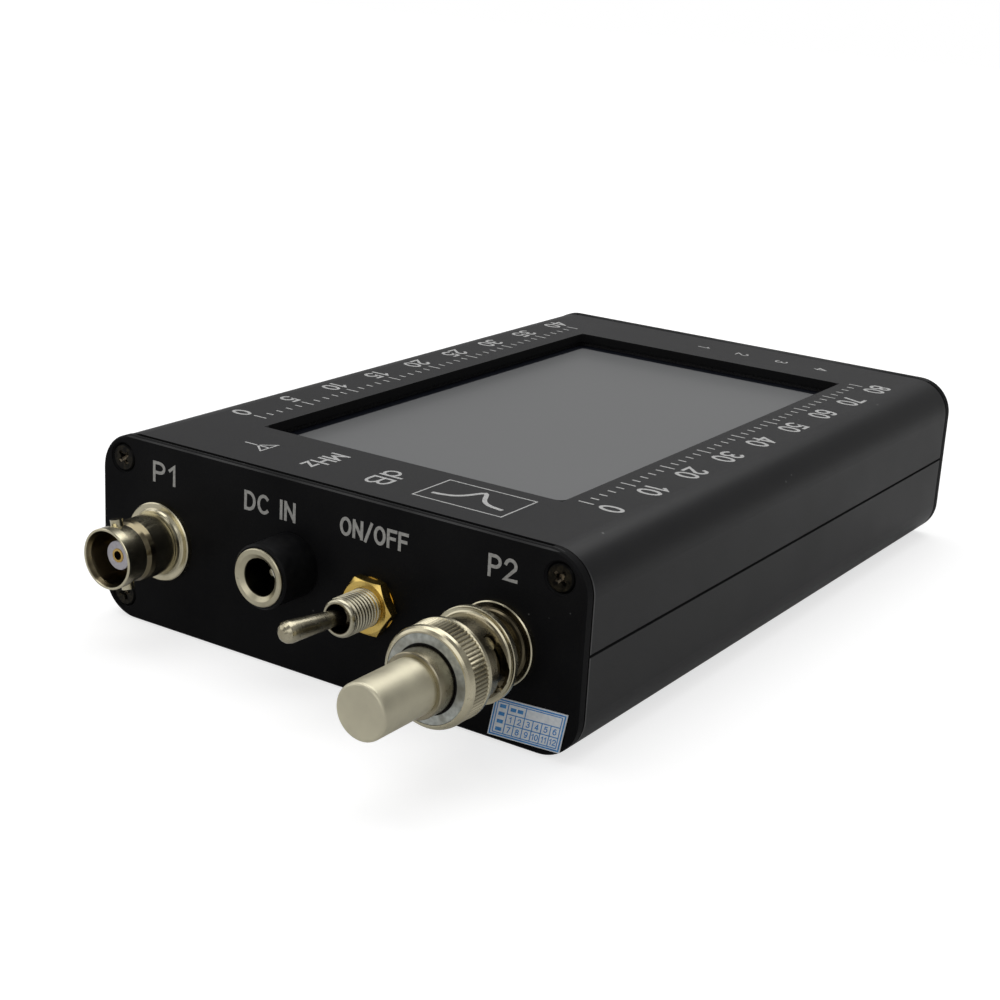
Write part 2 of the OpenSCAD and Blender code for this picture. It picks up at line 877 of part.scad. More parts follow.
// A chip with a row of legs on each of its sides.
module chip(w, l, h, legs_x, legs_y, pitch) {
  leg_w = pitch * 0.4;
  leg_l = 1;
  slab(0, 0, w, l, 0.1, h);
  if (legs_y > 0)
    for (i = [0 : legs_y - 1])
      slab(0, (i - (legs_y - 1) / 2) * pitch, w + 2 * leg_l, leg_w, 0, 0.3);
  if (legs_x > 0)
    for (i = [0 : legs_x - 1])
      slab((i - (legs_x - 1) / 2) * pitch, 0, leg_w, l + 2 * leg_l, 0, 0.3);
}

module on_board(x, y) {
  translate([x, main_board_y0 + y, main_top_z])
    children();
}

chip_x = 22;
processor_y = 46;
processor_w = 14;
processor_h = 1.5;
radio_chip_w = 4;
radio_chip_l = 5;
radio_chip_h = 1.2;
mixer_w = 7;
mixer_h = 1;
power_chip_w = 4;
power_chip_l = 5;
power_chip_h = 1.5;
power_chip_step = 8;

module processor_chip() {
  color(chip_black)
    on_board(chip_x, processor_y)
      chip(processor_w, processor_w, processor_h, 16, 16, 0.8);
}

module radio_chips() {
  color(chip_black) {
    for (side = [-1, 1])
      translate([shield_x + side * shield_w / 4, shield_y - shield_l / 5, main_top_z])
        chip(radio_chip_w, radio_chip_l, radio_chip_h, 0, 5, 0.8);
    translate([shield_x, shield_y + shield_l / 5, main_top_z])
      chip(mixer_w, mixer_w, mixer_h, 8, 8, 0.8);
  }
}

// The power chips keep clear of the header, which lies behind them.
module power_chips() {
  color(chip_black)
    for (i = [1, 2])
      translate([chip_x, header_y - i * power_chip_step, main_top_z])
        chip(power_chip_w, power_chip_l, power_chip_h, 0, 4, 1.27);
}

crystal_y = 31;
crystal_l = 6.4;
crystal_r = 2;
crystal_h = 3.5;
inductor_w = 7;
inductor_h = 3.6;
inductor_y = 14;
inductor_step = 10;

module crystal() {
  color(steel)
    on_board(chip_x, crystal_y)
      linear_extrude(crystal_h) {
        square([crystal_l, 2 * crystal_r], center = true);
        for (sx = [-1, 1])
          translate([sx * crystal_l / 2, 0])
            circle(r = crystal_r);
      }
}

module inductors() {
  color([0.25, 0.25, 0.27])
    for (side = [-1, 1])
      on_board(chip_x - 1 + side * inductor_step / 2, inductor_y)
        difference() {
          slab(0, 0, inductor_w, inductor_w, 0, inductor_h);
          translate([0, 0, inductor_h - loose_gap])
            cylinder(r = inductor_w * 0.37, h = 1);
        }
}

// ---------------------------------------------------------------- battery

tape_inset = 3.5;

module battery_tape() {
  color([0.85, 0.85, 0.8])
    slab(0, (battery_y0 + battery_y1) / 2, battery_w - 2 * tape_inset,
      battery_l - 2 * tape_inset, wall, wall + tape_t);
}

module battery() {
  z0 = wall + tape_t;
  fold = 1.2;
  color([0.55, 0.57, 0.6])
    translate([0, (battery_y0 + battery_y1) / 2, z0])
      rotate([90, 0, 0])
        linear_extrude(battery_l, center = true)
          translate([0, battery_t / 2])
            rounded_rect(battery_w, battery_t, fold);
}

module battery_socket() {
  color(ptfe)
    difference() {
      slab(0, socket_y, socket_w, socket_l, main_board_z - socket_h, main_board_z);
      slab(0, socket_y + 1, socket_w - 1.6, socket_l, main_board_z - socket_h + 0.8,
        main_board_z - 0.8);
    }
}

module battery_plug() {
  color(ptfe)
    slab(0, socket_y + 2.5 + hole_gap, socket_w - 1.6 - 2 * hole_gap, socket_l - 1,
      main_board_z - socket_h + 0.8 + hole_gap, main_board_z - 0.8 - hole_gap);
}

lead_r = 0.65;

module battery_leads() {
  plug_y = socket_y + socket_l / 2 + 2 + hole_gap;
  color("red")
    for (sx = [-1, 1])
      wire(s_route([sx * 1.5, plug_y, main_board_z - socket_h / 2],
        [sx * 6, battery_y0, wall + tape_t + battery_t / 2]), lead_r);
}

// ---------------------------------------------------------------- coaxial ports

module port_body(lug_turn) {
  difference() {
    union() {
      rotate_extrude()
        polygon(concat([
          [0, -jack_shank_l], [jack_shank_r - 0.4, -jack_shank_l],
          [jack_shank_r, -jack_shank_l + 0.4], [jack_shank_r, 0],
          [jack_flange_r, 0], [jack_flange_r, jack_flange_t - 0.15],
          [jack_flange_r - 0.15, jack_flange_t]
          ], [for (a = [0 : 22.5 : 90])
            [jack_step_r - (jack_step_r - jack_barrel_r) * sin(a),
              jack_flange_t + (jack_step_z - jack_flange_t) * (1 - cos(a))]], [
          [jack_barrel_r, waist_z0 - waist_slope],
          [(jack_barrel_r + jack_waist_r) / 2 + 0.06, waist_z0 - waist_slope * 0.45],
          [jack_waist_r, waist_z0],
          [jack_waist_r, waist_z1], [jack_barrel_r - 0.07, waist_z1 + mouth_bevel],
          [jack_barrel_r - 0.07, jack_l - 0.1], [jack_barrel_r - 0.17, jack_l],
          [0, jack_l]
        ]));
      for (side = [0, 180])
        rotate(lug_turn + side)
          translate([jack_bore_r + 0.1, 0, lug_z])
            rotate([0, 90, 0])
              cylinder(r = lug_r, h = lug_reach - jack_bore_r - 0.1);
    }
    translate([0, 0, jack_floor_z])
      cylinder(r = jack_bore_r, h = jack_l);
    translate([0, 0, jack_l - 2 * jack_flare])
      cylinder(r1 = jack_bore_r, r2 = jack_bore_r + 1.5 * jack_flare, h = 3 * jack_flare);
    translate([0, 0, -jack_shank_l - 1])
      cylinder(r = jack_core_r, h = jack_shank_l + jack_floor_z + 2);
  }
}

module left_port_body() {
  color(nickel)
    on_front(left_port_x, port_z)
      port_body(left_lug_turn);
}

module right_port_body() {
  color(nickel)
    on_front(right_port_x, port_z)
      port_body(right_lug_turn);
}

module at_ports() {
  for (x = [left_port_x, right_port_x])
    on_front(x, port_z)
      children();
}

module port_insulators() {
  color(ptfe)
    at_ports()
      ring(jack_core_r - fit_gap / 2, contact_r + fit_gap / 2, -jack_shank_l + 0.5, jack_core_z);
}

// A gold contact with a hole in front and a solder cup behind.
contact_cup_l = 3.5;
contact_cup_t = 2;

module port_contacts() {
  hole_l = 6.5;
  front_z = jack_core_z + 0.1;
  back_z = -jack_shank_l - contact_cup_l;
  color(gold)
    at_ports()
      difference() {
        translate([0, 0, back_z])
          cylinder(r = contact_r, h = front_z - back_z);
        translate([0, 0, front_z - hole_l])
          cylinder(r = contact_hole_r, h = hole_l + 1);
        translate([0, 0, back_z - 1])
          cylinder(r = contact_hole_r, h = contact_cup_t + 1);
      }
}

module port_washers() {
  color(nickel)
    at_ports()
      ring(jack_flange_r, jack_shank_r + fit_gap, -plate_t - jack_washer_t, -plate_t);
}

module port_ground_tags() {
  z0 = jack_nut_top;
  color(nickel)
    at_ports()
      difference() {
        union() {
          translate([0, 0, z0])
            cylinder(r = jack_flange_r - 0.2, h = jack_tag_t);
          translate([-1.5, -11, z0])
            cube([3, 7, jack_tag_t]);
        }
        translate([0, 0, z0 - 1])
          cylinder(r = jack_shank_r + fit_gap, h = 3);
        translate([0, -9.8, z0 - 1])
          cylinder(r = 0.7, h = 3);
      }
}

module port_nuts() {
  color(nickel)
    at_ports()
      translate([0, 0, jack_nut_top - jack_nut_t])
        difference() {
          cylinder(r = jack_nut_af / sqrt(3), h = jack_nut_t, $fn = 6);
          translate([0, 0, -1])
            cylinder(r = jack_shank_r + fit_gap, h = jack_nut_t + 2);
        }
}

// From each port's contact a thin coaxial lead runs back on to the main board.
module coax_leads() {
  coax_r = 0.9;
  core_r = 0.35;
  cup_y = front_y + jack_shank_l + contact_cup_l - contact_cup_t;
  jacket_y = front_y + jack_shank_l + contact_cup_l + 0.6;
  end_y = main_board_y0 + 6;
  end_z = main_top_z + coax_r;
  color([0.55, 0.35, 0.2])
    for (x = [left_port_x, right_port_x]) {
      end_x = x - 3 * sign(x);
      wire(s_route([x, jacket_y, port_z], [end_x, end_y, end_z]), coax_r);
      wire([[x, cup_y, port_z], [x, jacket_y + 0.6, port_z]], core_r);
      wire([[end_x, end_y - 0.6, end_z], [end_x, end_y + 0.4, end_z],
        [end_x, end_y + 1.2, main_top_z + core_r], [end_x, end_y + 2, main_top_z + core_r]],
        core_r);
    }
}

// ---------------------------------------------------------------- port cap

// Points on an arc about c, from angle a0 to a1.
function arc(c, r, a0, a1, n = 4) = [
  for (i = [0 : n])
    let (a = a0 + (a1 - a0) * i / n)
      [c.x + r * cos(a), c.y + r * sin(a)]
];

lip_r = 1.1;

module nut_outline() {
  fillet = 0.7;
  rim_z = nut_mouth_z + nut_rim_t;
  lip_z = nut_back_z - lip_r;
  root_r = knurl_r - knurl_depth - 0.05;
  rotate_extrude()
    polygon(concat(
      [
        [nut_bore_r, nut_mouth_z], [nut_rim_r - 0.1, nut_mouth_z],
        [nut_rim_r, nut_mouth_z + 0.1], [nut_rim_r, rim_z - 0.1], [nut_rim_r - 0.1, rim_z]
      ],
      arc([nut_waist_r + fillet, rim_z + fillet], fillet, 270, 180),
      arc([nut_waist_r + fillet, knurl_z - fillet], fillet, 180, 90),
      [
        [knurl_r - 0.2, knurl_z], [knurl_r, knurl_z + 0.2], [knurl_r, knurl_z + 0.7],
        [root_r, knurl_z + 0.9], [root_r, lip_z]
      ],
      arc([knurl_r - lip_r, lip_z], lip_r, 0, 90),
      [[nut_bore_r, nut_back_z]]
    ));
}

module knurl() {
  peak_r = knurl_r - 0.05;
  z0 = knurl_z + 0.5;
  translate([0, 0, z0])
    linear_extrude(nut_back_z - lip_r + 0.1 - z0)
      polygon([
        for (i = [0 : 2 * knurl_teeth - 1])
          let (a = 180 * i / knurl_teeth, r = i % 2 == 0 ? peak_r : knurl_r - knurl_depth)
            [r * cos(a), r * sin(a)]
      ]);
}

// One cam slot: a sloping cut from the locked hole towards the mouth, which a
// straight groove inside the nut opens.
module cam_slot() {
  steps = 12;
  inner = nut_bore_r - 0.6;
  reach = nut_waist_r + 0.3;
  groove_r = lug_reach + 0.25;
  slope = atan(nut_travel / (nut_turn * PI / 180 * nut_bore_r));
  half = (lug_r + 0.12) / cos(slope);
  last = 4 * steps;
  points = [
    for (i = [0 : steps])
      let (a = -nut_turn * i / steps, z = lug_z - nut_travel * i / steps)
        for (c = [[inner, -half], [reach, -half], [reach, half], [inner, half]])
          [c[0] * cos(a), c[0] * sin(a), z + c[1]]
  ];
  sides = [
    for (i = [0 : steps - 1], k = [0 : 3])
      let (m = (k + 1) % 4, p = 4 * i, q = p + 4)
        each [[p + k, q + m, p + m], [p + k, q + k, q + m]]
  ];
  ends = [[0, 1, 2, 3], [last + 3, last + 2, last + 1, last]];
  polyhedron(points = points, faces = concat(sides, ends), convexity = 4);
  translate([inner, 0, lug_z])
    rotate([0, 90, 0])
      cylinder(r = lug_r + 0.3, h = reach - inner);
  rotate(-nut_turn) {
    translate([inner, 0, lug_z - nut_travel])
      rotate([0, 90, 0])
        cylinder(r = half + 0.02, h = reach - inner);
    translate([inner, -lug_r - 0.15, nut_mouth_z - 1])
      cube([groove_r - inner, 2 * lug_r + 0.3, lug_z - nut_travel - nut_mouth_z + 1]);
  }
}

module coupling_nut() {
  color(nickel)
    on_front(right_port_x, port_z)
      difference() {
        union() {
          nut_outline();
          knurl();
        }
        translate([0, 0, nut_mouth_z - 1])
          cylinder(r = nut_bore_r, h = nut_back_z);
        translate([0, 0, chamber_z])
          cylinder(r = chamber_r, h = nut_back_z);
        for (side = [0, 180])
          rotate(right_lug_turn + side)
            cam_slot();
      }
}

module coupling_back_ring() {
  color(zinc)
    on_front(right_port_x, port_z)
      ring(chamber_r - fit_gap, collar_r + fit_gap,
        nut_back_z - back_ring_t - 0.1, nut_back_z - 0.1);
}

// A cupped spring washer between the cap's flange and the back ring.
module coupling_spring() {
  z0 = flange_z + flange_t + fit_gap;
  z1 = nut_back_z - back_ring_t - 0.1 - fit_gap;
  color(steel)
    on_front(right_port_x, port_z)
      rotate_extrude()
        polygon([
          [chamber_r - 0.4, z0], [chamber_r - 0.4, z0 + 0.3],
          [collar_r + 0.8, z1], [collar_r + 0.4, z1], [collar_r + 0.4, z1 - 0.3]
        ]);
}

module cap_body() {
  bore = sleeve_r - sleeve_wall;
  color(nickel)
    on_front(right_port_x, port_z)
      difference() {
        rotate_extrude()
          polygon([
            [bore, jack_floor_z + 0.8], [sleeve_r - 0.2, jack_floor_z + 0.8],
            [sleeve_r, jack_floor_z + 1.2], [sleeve_r, flange_z],
            [chamber_r - loose_gap, flange_z], [chamber_r - loose_gap, flange_z + flange_t],
            [collar_r, flange_z + flange_t], [collar_r, collar_z - 0.15],
            [collar_r - 0.15, collar_z], [bore, collar_z]
          ]);
        for (a = [0 : 90 : 270])
          rotate(a + 45)
            translate([bore - 0.3, -0.2, 0])
              cube([2, 0.4, jack_floor_z + 5]);
      }
}

// The cap's barrel, with a spigot pressed into the collar.
module cap_barrel() {
  bore = sleeve_r - sleeve_wall;
  spigot_r = bore - fit_gap;
  inside_r = spigot_r - 0.5;
  edge = 0.55;
  color(nickel)
    on_front(right_port_x, port_z)
      rotate_extrude()
        polygon(concat(
          [
            [inside_r, collar_z - 2.5], [spigot_r, collar_z - 2.5], [spigot_r, collar_z],
            [cap_r, collar_z]
          ],
          [for (a = [0 : 22.5 : 90])
            [cap_r - edge * (1 - cos(a)), cap_end_z - edge * (1 - sin(a))]],
          [[0, cap_end_z], [0, cap_end_z - 1], [inside_r, cap_end_z - 1]]
        ));
}

module cap_insulator() {
  color(ptfe)
    on_front(right_port_x, port_z)
      ring(sleeve_r - sleeve_wall - fit_gap / 2, pin_r + fit_gap / 2,
        core_front_z, collar_z - 3);
}

module cap_pin() {
  tip_z = jack_core_z - 4;
  back_z = collar_z + 1;
  color(gold)
    on_front(right_port_x, port_z)
      rotate_extrude()
        polygon([
          [0, tip_z], [pin_r - 0.3, tip_z], [pin_r, tip_z + 0.6], [pin_r, back_z], [0, back_z]
        ]);
}

module cap_gasket() {
  color([0.55, 0.2, 0.15])
    on_front(right_port_x, port_z)
      ring(nut_bore_r - hole_gap, sleeve_r + fit_gap / 2, jack_l + hole_gap, flange_z);
}

module cap_resistor() {
  z0 = collar_z + 1;
  color([0.6, 0.75, 0.85])
    on_front(right_port_x, port_z) {
      translate([0, 0, z0])
        cylinder(r = 1.6, h = 6);
      translate([0, 0, z0 + 5.5])
        cylinder(r = 0.35, h = cap_end_z - 1 - z0 - 5.5);
    }
}

// ---------------------------------------------------------------- charging jack

leaf_w = 1.2;

module leaf_slot() {
  rotate(leaf_turn)
    translate([2.2, -leaf_w / 2 - fit_gap, -dc_rear_l - 1])
      cube([dc_sleeve_r + 0.3 - 2.2, leaf_w + 2 * fit_gap, dc_l + dc_rear_l + 0.55]);
}

module dc_jack_body() {
  color(chip_black)
    on_front(dc_x, dc_z)
      difference() {
        rotate_extrude()
          polygon([
            [0, -dc_rear_l], [dc_shank_r, -dc_rear_l], [dc_shank_r, 0], [dc_barrel_r, 0],
            [dc_barrel_r, dc_l - 0.7], [dc_barrel_r - 0.3, dc_l - 0.4],
            [dc_ring_r + fit_gap, dc_l - 0.4], [dc_ring_r + fit_gap, dc_l - dc_ring_t],
            [0, dc_l - dc_ring_t]
          ]);
        translate([0, 0, -dc_rear_l + 1.5])
          cylinder(r = dc_sleeve_r + fit_gap / 2, h = dc_l + dc_rear_l);
        translate([0, 0, -dc_rear_l - 1])
          cylinder(r = dc_pin_r + fit_gap / 2, h = 4);
        leaf_slot();
      }
}

// A metal sleeve in the jack, with a bright countersunk ring at the mouth.
module dc_jack_ring() {
  flat_r = dc_bore_r + (dc_ring_r - dc_bore_r) * 0.5;
  cone_l = dc_ring_t * 0.5;
  color(nickel)
    on_front(dc_x, dc_z)
      difference() {
        rotate_extrude()
          polygon([
            [dc_bore_r, -dc_rear_l + 3], [dc_sleeve_r, -dc_rear_l + 3],
            [dc_sleeve_r, dc_l - dc_ring_t], [dc_ring_r, dc_l - dc_ring_t],
            [dc_ring_r, dc_l - 0.15], [dc_ring_r - 0.15, dc_l], [flat_r, dc_l],
            [dc_bore_r + 0.1, dc_l - cone_l], [dc_bore_r, dc_l - cone_l - 0.15]
          ]);
        leaf_slot();
      }
}

module dc_jack_pin() {
  tip_z = dc_l - dc_pin_drop;
  color(steel)
    on_front(dc_x, dc_z)
      rotate_extrude()
        polygon([
          [0, -dc_rear_l - 4], [dc_pin_r, -dc_rear_l - 4], [dc_pin_r, tip_z - 0.5],
          [dc_pin_r - 0.5, tip_z], [0, tip_z]
        ]);
}

// A leaf spring along the sleeve, bent inwards near the mouth, with a tag behind.
module dc_jack_leaf() {
  in_r = dc_bore_r - 0.45;
  out_r = dc_sleeve_r + 0.25;
  t = 0.25;
  color(nickel)
    on_front(dc_x, dc_z)
      rotate(leaf_turn)
        translate([0, leaf_w / 2, 0])
          rotate([90, 0, 0])
            linear_extrude(leaf_w)
              polygon([
                [out_r, -dc_rear_l - 4], [out_r, dc_l - 4.2], [in_r + t, dc_l - 1.1],
                [in_r + t + 0.4, dc_l - 0.55], [in_r + 0.4, dc_l - 0.55], [in_r, dc_l - 1.1],
                [out_r - t, dc_l - 4.5], [out_r - t, -dc_rear_l - 4]
              ]);
}

module dc_jack_nut() {
  color(steel)
    on_front(dc_x, dc_z)
      translate([0, 0, -plate_t - 2])
        difference() {
          cylinder(r = 5.6, h = 2, $fn = 6);
          translate([0, 0, -1])
            cylinder(r = dc_shank_r + fit_gap, h = 4);
        }
}

// ---------------------------------------------------------------- toggle

// A threaded tube with the frame that holds the toggle's body.
module toggle_bushing() {
  turns = floor((bushing_l - 0.6) / thread_pitch);
  root_r = bushing_r - thread_depth;
  top = bushing_l - 0.5;
  lip_z = pivot_z + ball_r * 0.5;
  color(nickel)
    on_front(toggle_x, toggle_z)
      difference() {
        union() {
          rotate_extrude()
            polygon(concat(
              [[0, toggle_case_z], [bushing_r, toggle_case_z],
                [bushing_r, top - turns * thread_pitch]],
              [for (i = [turns : -1 : 1], s = [0, 1])
                s == 0 ? [root_r, top - (i - 0.5) * thread_pitch]
                  : [bushing_r, top - (i - 1) * thread_pitch]],
              [[bushing_r - 0.1, top + 0.25], [bushing_r - 0.5, bushing_l], [0, bushing_l]]
            ));
          slab(0, 0, toggle_body_l, toggle_body_h, toggle_case_z, toggle_seat_z);
        }
        translate([0, 0, toggle_case_z - 1])
          cylinder(r = bushing_bore_r + 0.2, h = toggle_frame_t + 1);
        translate([0, 0, toggle_case_z])
          cylinder(r = bushing_bore_r, h = lip_z - toggle_case_z);
        translate([0, 0, toggle_case_z])
          cylinder(r = bushing_mouth_r, h = bushing_l - toggle_case_z + 1);
      }
}

module lever_frame() {
  on_front(toggle_x, toggle_z)
    translate([0, 0, pivot_z])
      rotate([0, -lever_lean, 0])
        children();
}

plunger_r = 0.6;

// A bat-shaped lever on a ball, with a bored arm that reaches into the body.
module toggle_lever() {
  edge = lever_tip_r - 0.15;
  neck_r = 0.95;
  foot_r = 1.3;
  arm_l = plunger_reach - 2;
  foot_l = arm_l - (pivot_z - toggle_case_z) / cos(lever_lean)
    - foot_r * tan(lever_lean) - hole_gap;
  color(nickel)
    lever_frame()
      difference() {
        union() {
          sphere(r = ball_r);
          rotate_extrude()
            polygon(concat(
              [[0, 0], [lever_root_r, 0], [lever_root_r, 3.5], [lever_tip_r, lever_l - 2]],
              [for (a = [0 : 22.5 : 90])
                [lever_tip_r - edge * (1 - cos(a)), lever_l - edge * (1 - sin(a))]],
              [[0, lever_l]]
            ));
          translate([0, 0, -arm_l])
            cylinder(r = neck_r, h = arm_l);
          translate([0, 0, -arm_l])
            cylinder(r = foot_r, h = foot_l);
        }
        translate([0, 0, -arm_l - 1])
          cylinder(r = plunger_r + fit_gap, h = 6);
      }
}

module toggle_plunger() {
  color(brass)
    lever_frame()
      translate([0, 0, -plunger_reach + plunger_r]) {
        sphere(r = plunger_r);
        cylinder(r = plunger_r, h = 7 - plunger_r);
      }
}

// A shallow V of sheet on a rod: it seesaws on the middle tag.
module toggle_rocker() {
  arm = tag_pitch + 0.5;
  rise = arm * tan(lever_lean);
  top = rocker_rod_r;
  color(gold)
    on_front(toggle_x, toggle_z)
      translate([0, 0, rocker_pivot_z])
        rotate([0, lever_lean, 0]) {
          rotate([90, 0, 0])
            linear_extrude(rocker_w, center = true)
              polygon([
                [0, top], [arm, top + rise], [arm, top + rise - rocker_t],
                [0, top - rocker_t], [-arm, top + rise - rocker_t], [-arm, top + rise]
              ]);
          rotate([90, 0, 0])
            cylinder(r = rocker_rod_r, h = rocker_w, center = true);
        }
}

module toggle_case() {
  color(chip_black)
    on_front(toggle_x, toggle_z)
      difference() {
        slab(0, 0, toggle_body_l, toggle_body_h, toggle_floor_z, toggle_case_z);
        slab(0, 0, toggle_body_l - 2 * toggle_wall, toggle_body_h - 2 * toggle_wall,
          toggle_floor_z + toggle_wall, toggle_case_z + 1);
        for (i = [-1, 0, 1])
          slab(i * tag_pitch, 0, tag_t + 2 * fit_gap, tag_w + 2 * fit_gap,
            toggle_floor_z - 1, toggle_case_z);
      }
}

module toggle_tags() {
  color(gold)
    on_front(toggle_x, toggle_z)
      for (i = [-1, 0, 1])
        difference() {
          slab(i * tag_pitch, 0, tag_t, tag_w, toggle_floor_z - tag_l,
            rocker_pivot_z - (i == 0 ? rocker_rod_r + fit_gap : 2 * fit_gap));
          translate([i * tag_pitch - 1, 0, toggle_floor_z - tag_l + 1.2])
            rotate([0, 90, 0])
              cylinder(r = 0.5, h = 2);
        }
}

module toggle_nut() {
  hex_r = toggle_nut_af / sqrt(3);
  face_r = toggle_nut_af / 2 - 0.1;
  bevel = (hex_r + 0.1 - face_r) * tan(30);
  color(brass)
    on_front(toggle_x, toggle_z)
      difference() {
        intersection() {
          translate([0, 0, toggle_washer_t])
            rotate(-2.5)
              cylinder(r = hex_r, h = toggle_nut_t, $fn = 6);
          translate([0, 0, toggle_washer_t])
            rotate_extrude()
              polygon([[0, 0], [hex_r + 0.1, 0], [hex_r + 0.1, toggle_nut_t - bevel],
                [face_r, toggle_nut_t], [0, toggle_nut_t]]);
        }
        cylinder(r = bushing_r + fit_gap, h = 6);
      }
}

// A tooth washer under the nut, and another behind the plate.
module toggle_washers() {
  color(brass)
    on_front(toggle_x, toggle_z) {
      ring(toggle_nut_af / 2 + 0.1, bushing_r + fit_gap, 0, toggle_washer_t);
      ring(toggle_nut_af / 2 + 0.1, bushing_r + fit_gap, toggle_seat_z, -plate_t);
    }
}

// Wires from the charging jack and the toggle to the front edge of the main board.
module panel_leads() {
  end_y = main_board_y0 + 2.5;
  end_z = main_top_z + lead_r;
  dc_y = front_y + dc_rear_l + 4;
  toggle_y = front_y - toggle_floor_z + tag_l;
  leaf_r = dc_sleeve_r + 0.1;
  color("red") {
    wire(s_route([dc_x, dc_y, dc_z], [dc_x - 3, end_y, end_z]), lead_r);
    wire(s_route([dc_x + leaf_r * cos(leaf_turn), dc_y, dc_z + leaf_r * sin(leaf_turn)],
      [dc_x + 2, end_y, end_z]), lead_r);
    for (i = [0, 1])
      wire(s_route([toggle_x + i * tag_pitch, toggle_y, toggle_z],
        [toggle_x + i * 4, end_y, end_z]), lead_r);
  }
}

// ---------------------------------------------------------------- what is drawn

top_shell();
bottom_shell();
front_plate();
rear_plate();
plate_screws();
seal_sticker();
window_gasket();
touch_glass();
lcd_panel();
light_guide();
display_frame();
display_ribbon();
display_board();
display_header();
header_socket();
standoffs();
board_screws();
main_board();
rf_shield();
processor_chip();
radio_chips();
power_chips();
crystal();
inductors();
battery();
battery_tape();
battery_socket();
battery_plug();
battery_leads();
left_port_body();
right_port_body();
port_insulators();
port_contacts();
port_washers();
port_ground_tags();
port_nuts();
coax_leads();
cap_body();
cap_barrel();
cap_pin();
cap_insulator();
cap_gasket();
cap_resistor();
coupling_nut();
coupling_back_ring();
coupling_spring();
dc_jack_body();
dc_jack_ring();
dc_jack_pin();
dc_jack_leaf();
dc_jack_nut();
toggle_bushing();
toggle_lever();
toggle_plunger();
toggle_rocker();
toggle_case();
toggle_nut();
toggle_washers();
toggle_tags();
panel_leads();
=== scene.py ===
import math
from functools import partial

import bmesh
import bpy
from mathutils import Matrix, Vector


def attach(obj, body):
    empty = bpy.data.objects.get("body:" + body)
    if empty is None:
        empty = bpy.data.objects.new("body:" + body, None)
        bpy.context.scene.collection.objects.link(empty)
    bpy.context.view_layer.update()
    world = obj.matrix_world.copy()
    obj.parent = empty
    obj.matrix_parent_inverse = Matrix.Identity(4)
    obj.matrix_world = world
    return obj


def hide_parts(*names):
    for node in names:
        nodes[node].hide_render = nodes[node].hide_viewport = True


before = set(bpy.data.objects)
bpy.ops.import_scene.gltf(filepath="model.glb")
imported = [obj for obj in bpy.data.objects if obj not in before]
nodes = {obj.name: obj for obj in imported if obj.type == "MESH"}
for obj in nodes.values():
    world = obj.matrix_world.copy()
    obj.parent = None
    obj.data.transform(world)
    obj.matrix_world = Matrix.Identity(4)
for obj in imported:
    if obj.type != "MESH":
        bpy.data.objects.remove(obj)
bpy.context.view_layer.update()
scene = bpy.context.scene
scene.view_settings.view_transform = "Standard"

# ---------------------------------------- camera
# The view of the photograph: a little above the case, from its front right.
# The place and the turn come from a solved camera, in the part's own frame.
view_right = Vector((0.82999, 0.55506, 0.05499)).normalized()
view_back = Vector((0.51557, -0.80108, 0.30406)).normalized()
view_up = view_back.cross(view_right).normalized()
view_place = Vector((0.159865, -0.268822, 0.111825))


def placed(name, data):
    """A new object in the scene."""
    made = bpy.data.objects.new(name, data)
    scene.collection.objects.link(made)
    return made


camera_data = bpy.data.cameras.new("camera")
camera_data.sensor_width = 36
camera_data.lens = 66.4
camera_data.clip_start = 0.01
camera_data.clip_end = 20
camera = placed("camera", camera_data)
view_turn = Matrix((view_right, view_up, view_back)).transposed().to_4x4()
camera.matrix_world = Matrix.Translation(view_place) @ view_turn
scene.camera = camera

# ---------------------------------------- studio
# A sheet of paper under a broad soft lamp, a strip lamp high behind, and weak lamps at
# the left and in front. What shines sees a grey room; the camera sees white all round.
paper_half, paper_drop, paper_tone = 1.4, 0.0002, 0.46
corners = ((-1, -1), (1, -1), (1, 1), (-1, 1))
floor_mesh = bpy.data.meshes.new("paper")
floor_mesh.from_pydata(
    [(paper_half * x, paper_half * y, -paper_drop) for x, y in corners], [], [(0, 1, 2, 3)]
)
floor = placed("paper", floor_mesh)


def feed(tree, socket, value):
    """Sets a socket to a plain value, or links a node or a node's output to it."""
    if isinstance(value, bpy.types.Node):
        value = value.outputs[0]
    if isinstance(value, bpy.types.NodeSocket):
        tree.links.new(value, socket)
    else:
        socket.default_value = value


def node(tree, kind, inputs=None, **settings):
    """A new node with its settings, and a value or a source for some of its inputs."""
    made = tree.nodes.new(kind)
    for name, value in settings.items():
        setattr(made, name, value)
    for key, value in (inputs or {}).items():
        feed(tree, made.inputs[key], value)
    return made


def reckon(tree, operation, first, second=0):
    """A Math node on two values, each a number or another node's output."""
    return node(tree, "ShaderNodeMath", {0: first, 1: second}, operation=operation).outputs[0]


def spread(tree, source, low, high, out_low=0, out_high=1):
    """The source's range from low to high, moved to another range."""
    ends = {"From Min": low, "From Max": high, "To Min": out_low, "To Max": out_high}
    return node(tree, "ShaderNodeMapRange", {"Value": source, **ends}).outputs[0]


def rays_of(tree):
    """1 for what the camera sees itself, and 1 for what it sees in or through a surface."""
    rays = node(tree, "ShaderNodeLightPath").outputs
    shine = reckon(tree, "MAXIMUM", rays["Is Glossy Ray"], rays["Is Transmission Ray"])
    return rays["Is Camera Ray"], shine


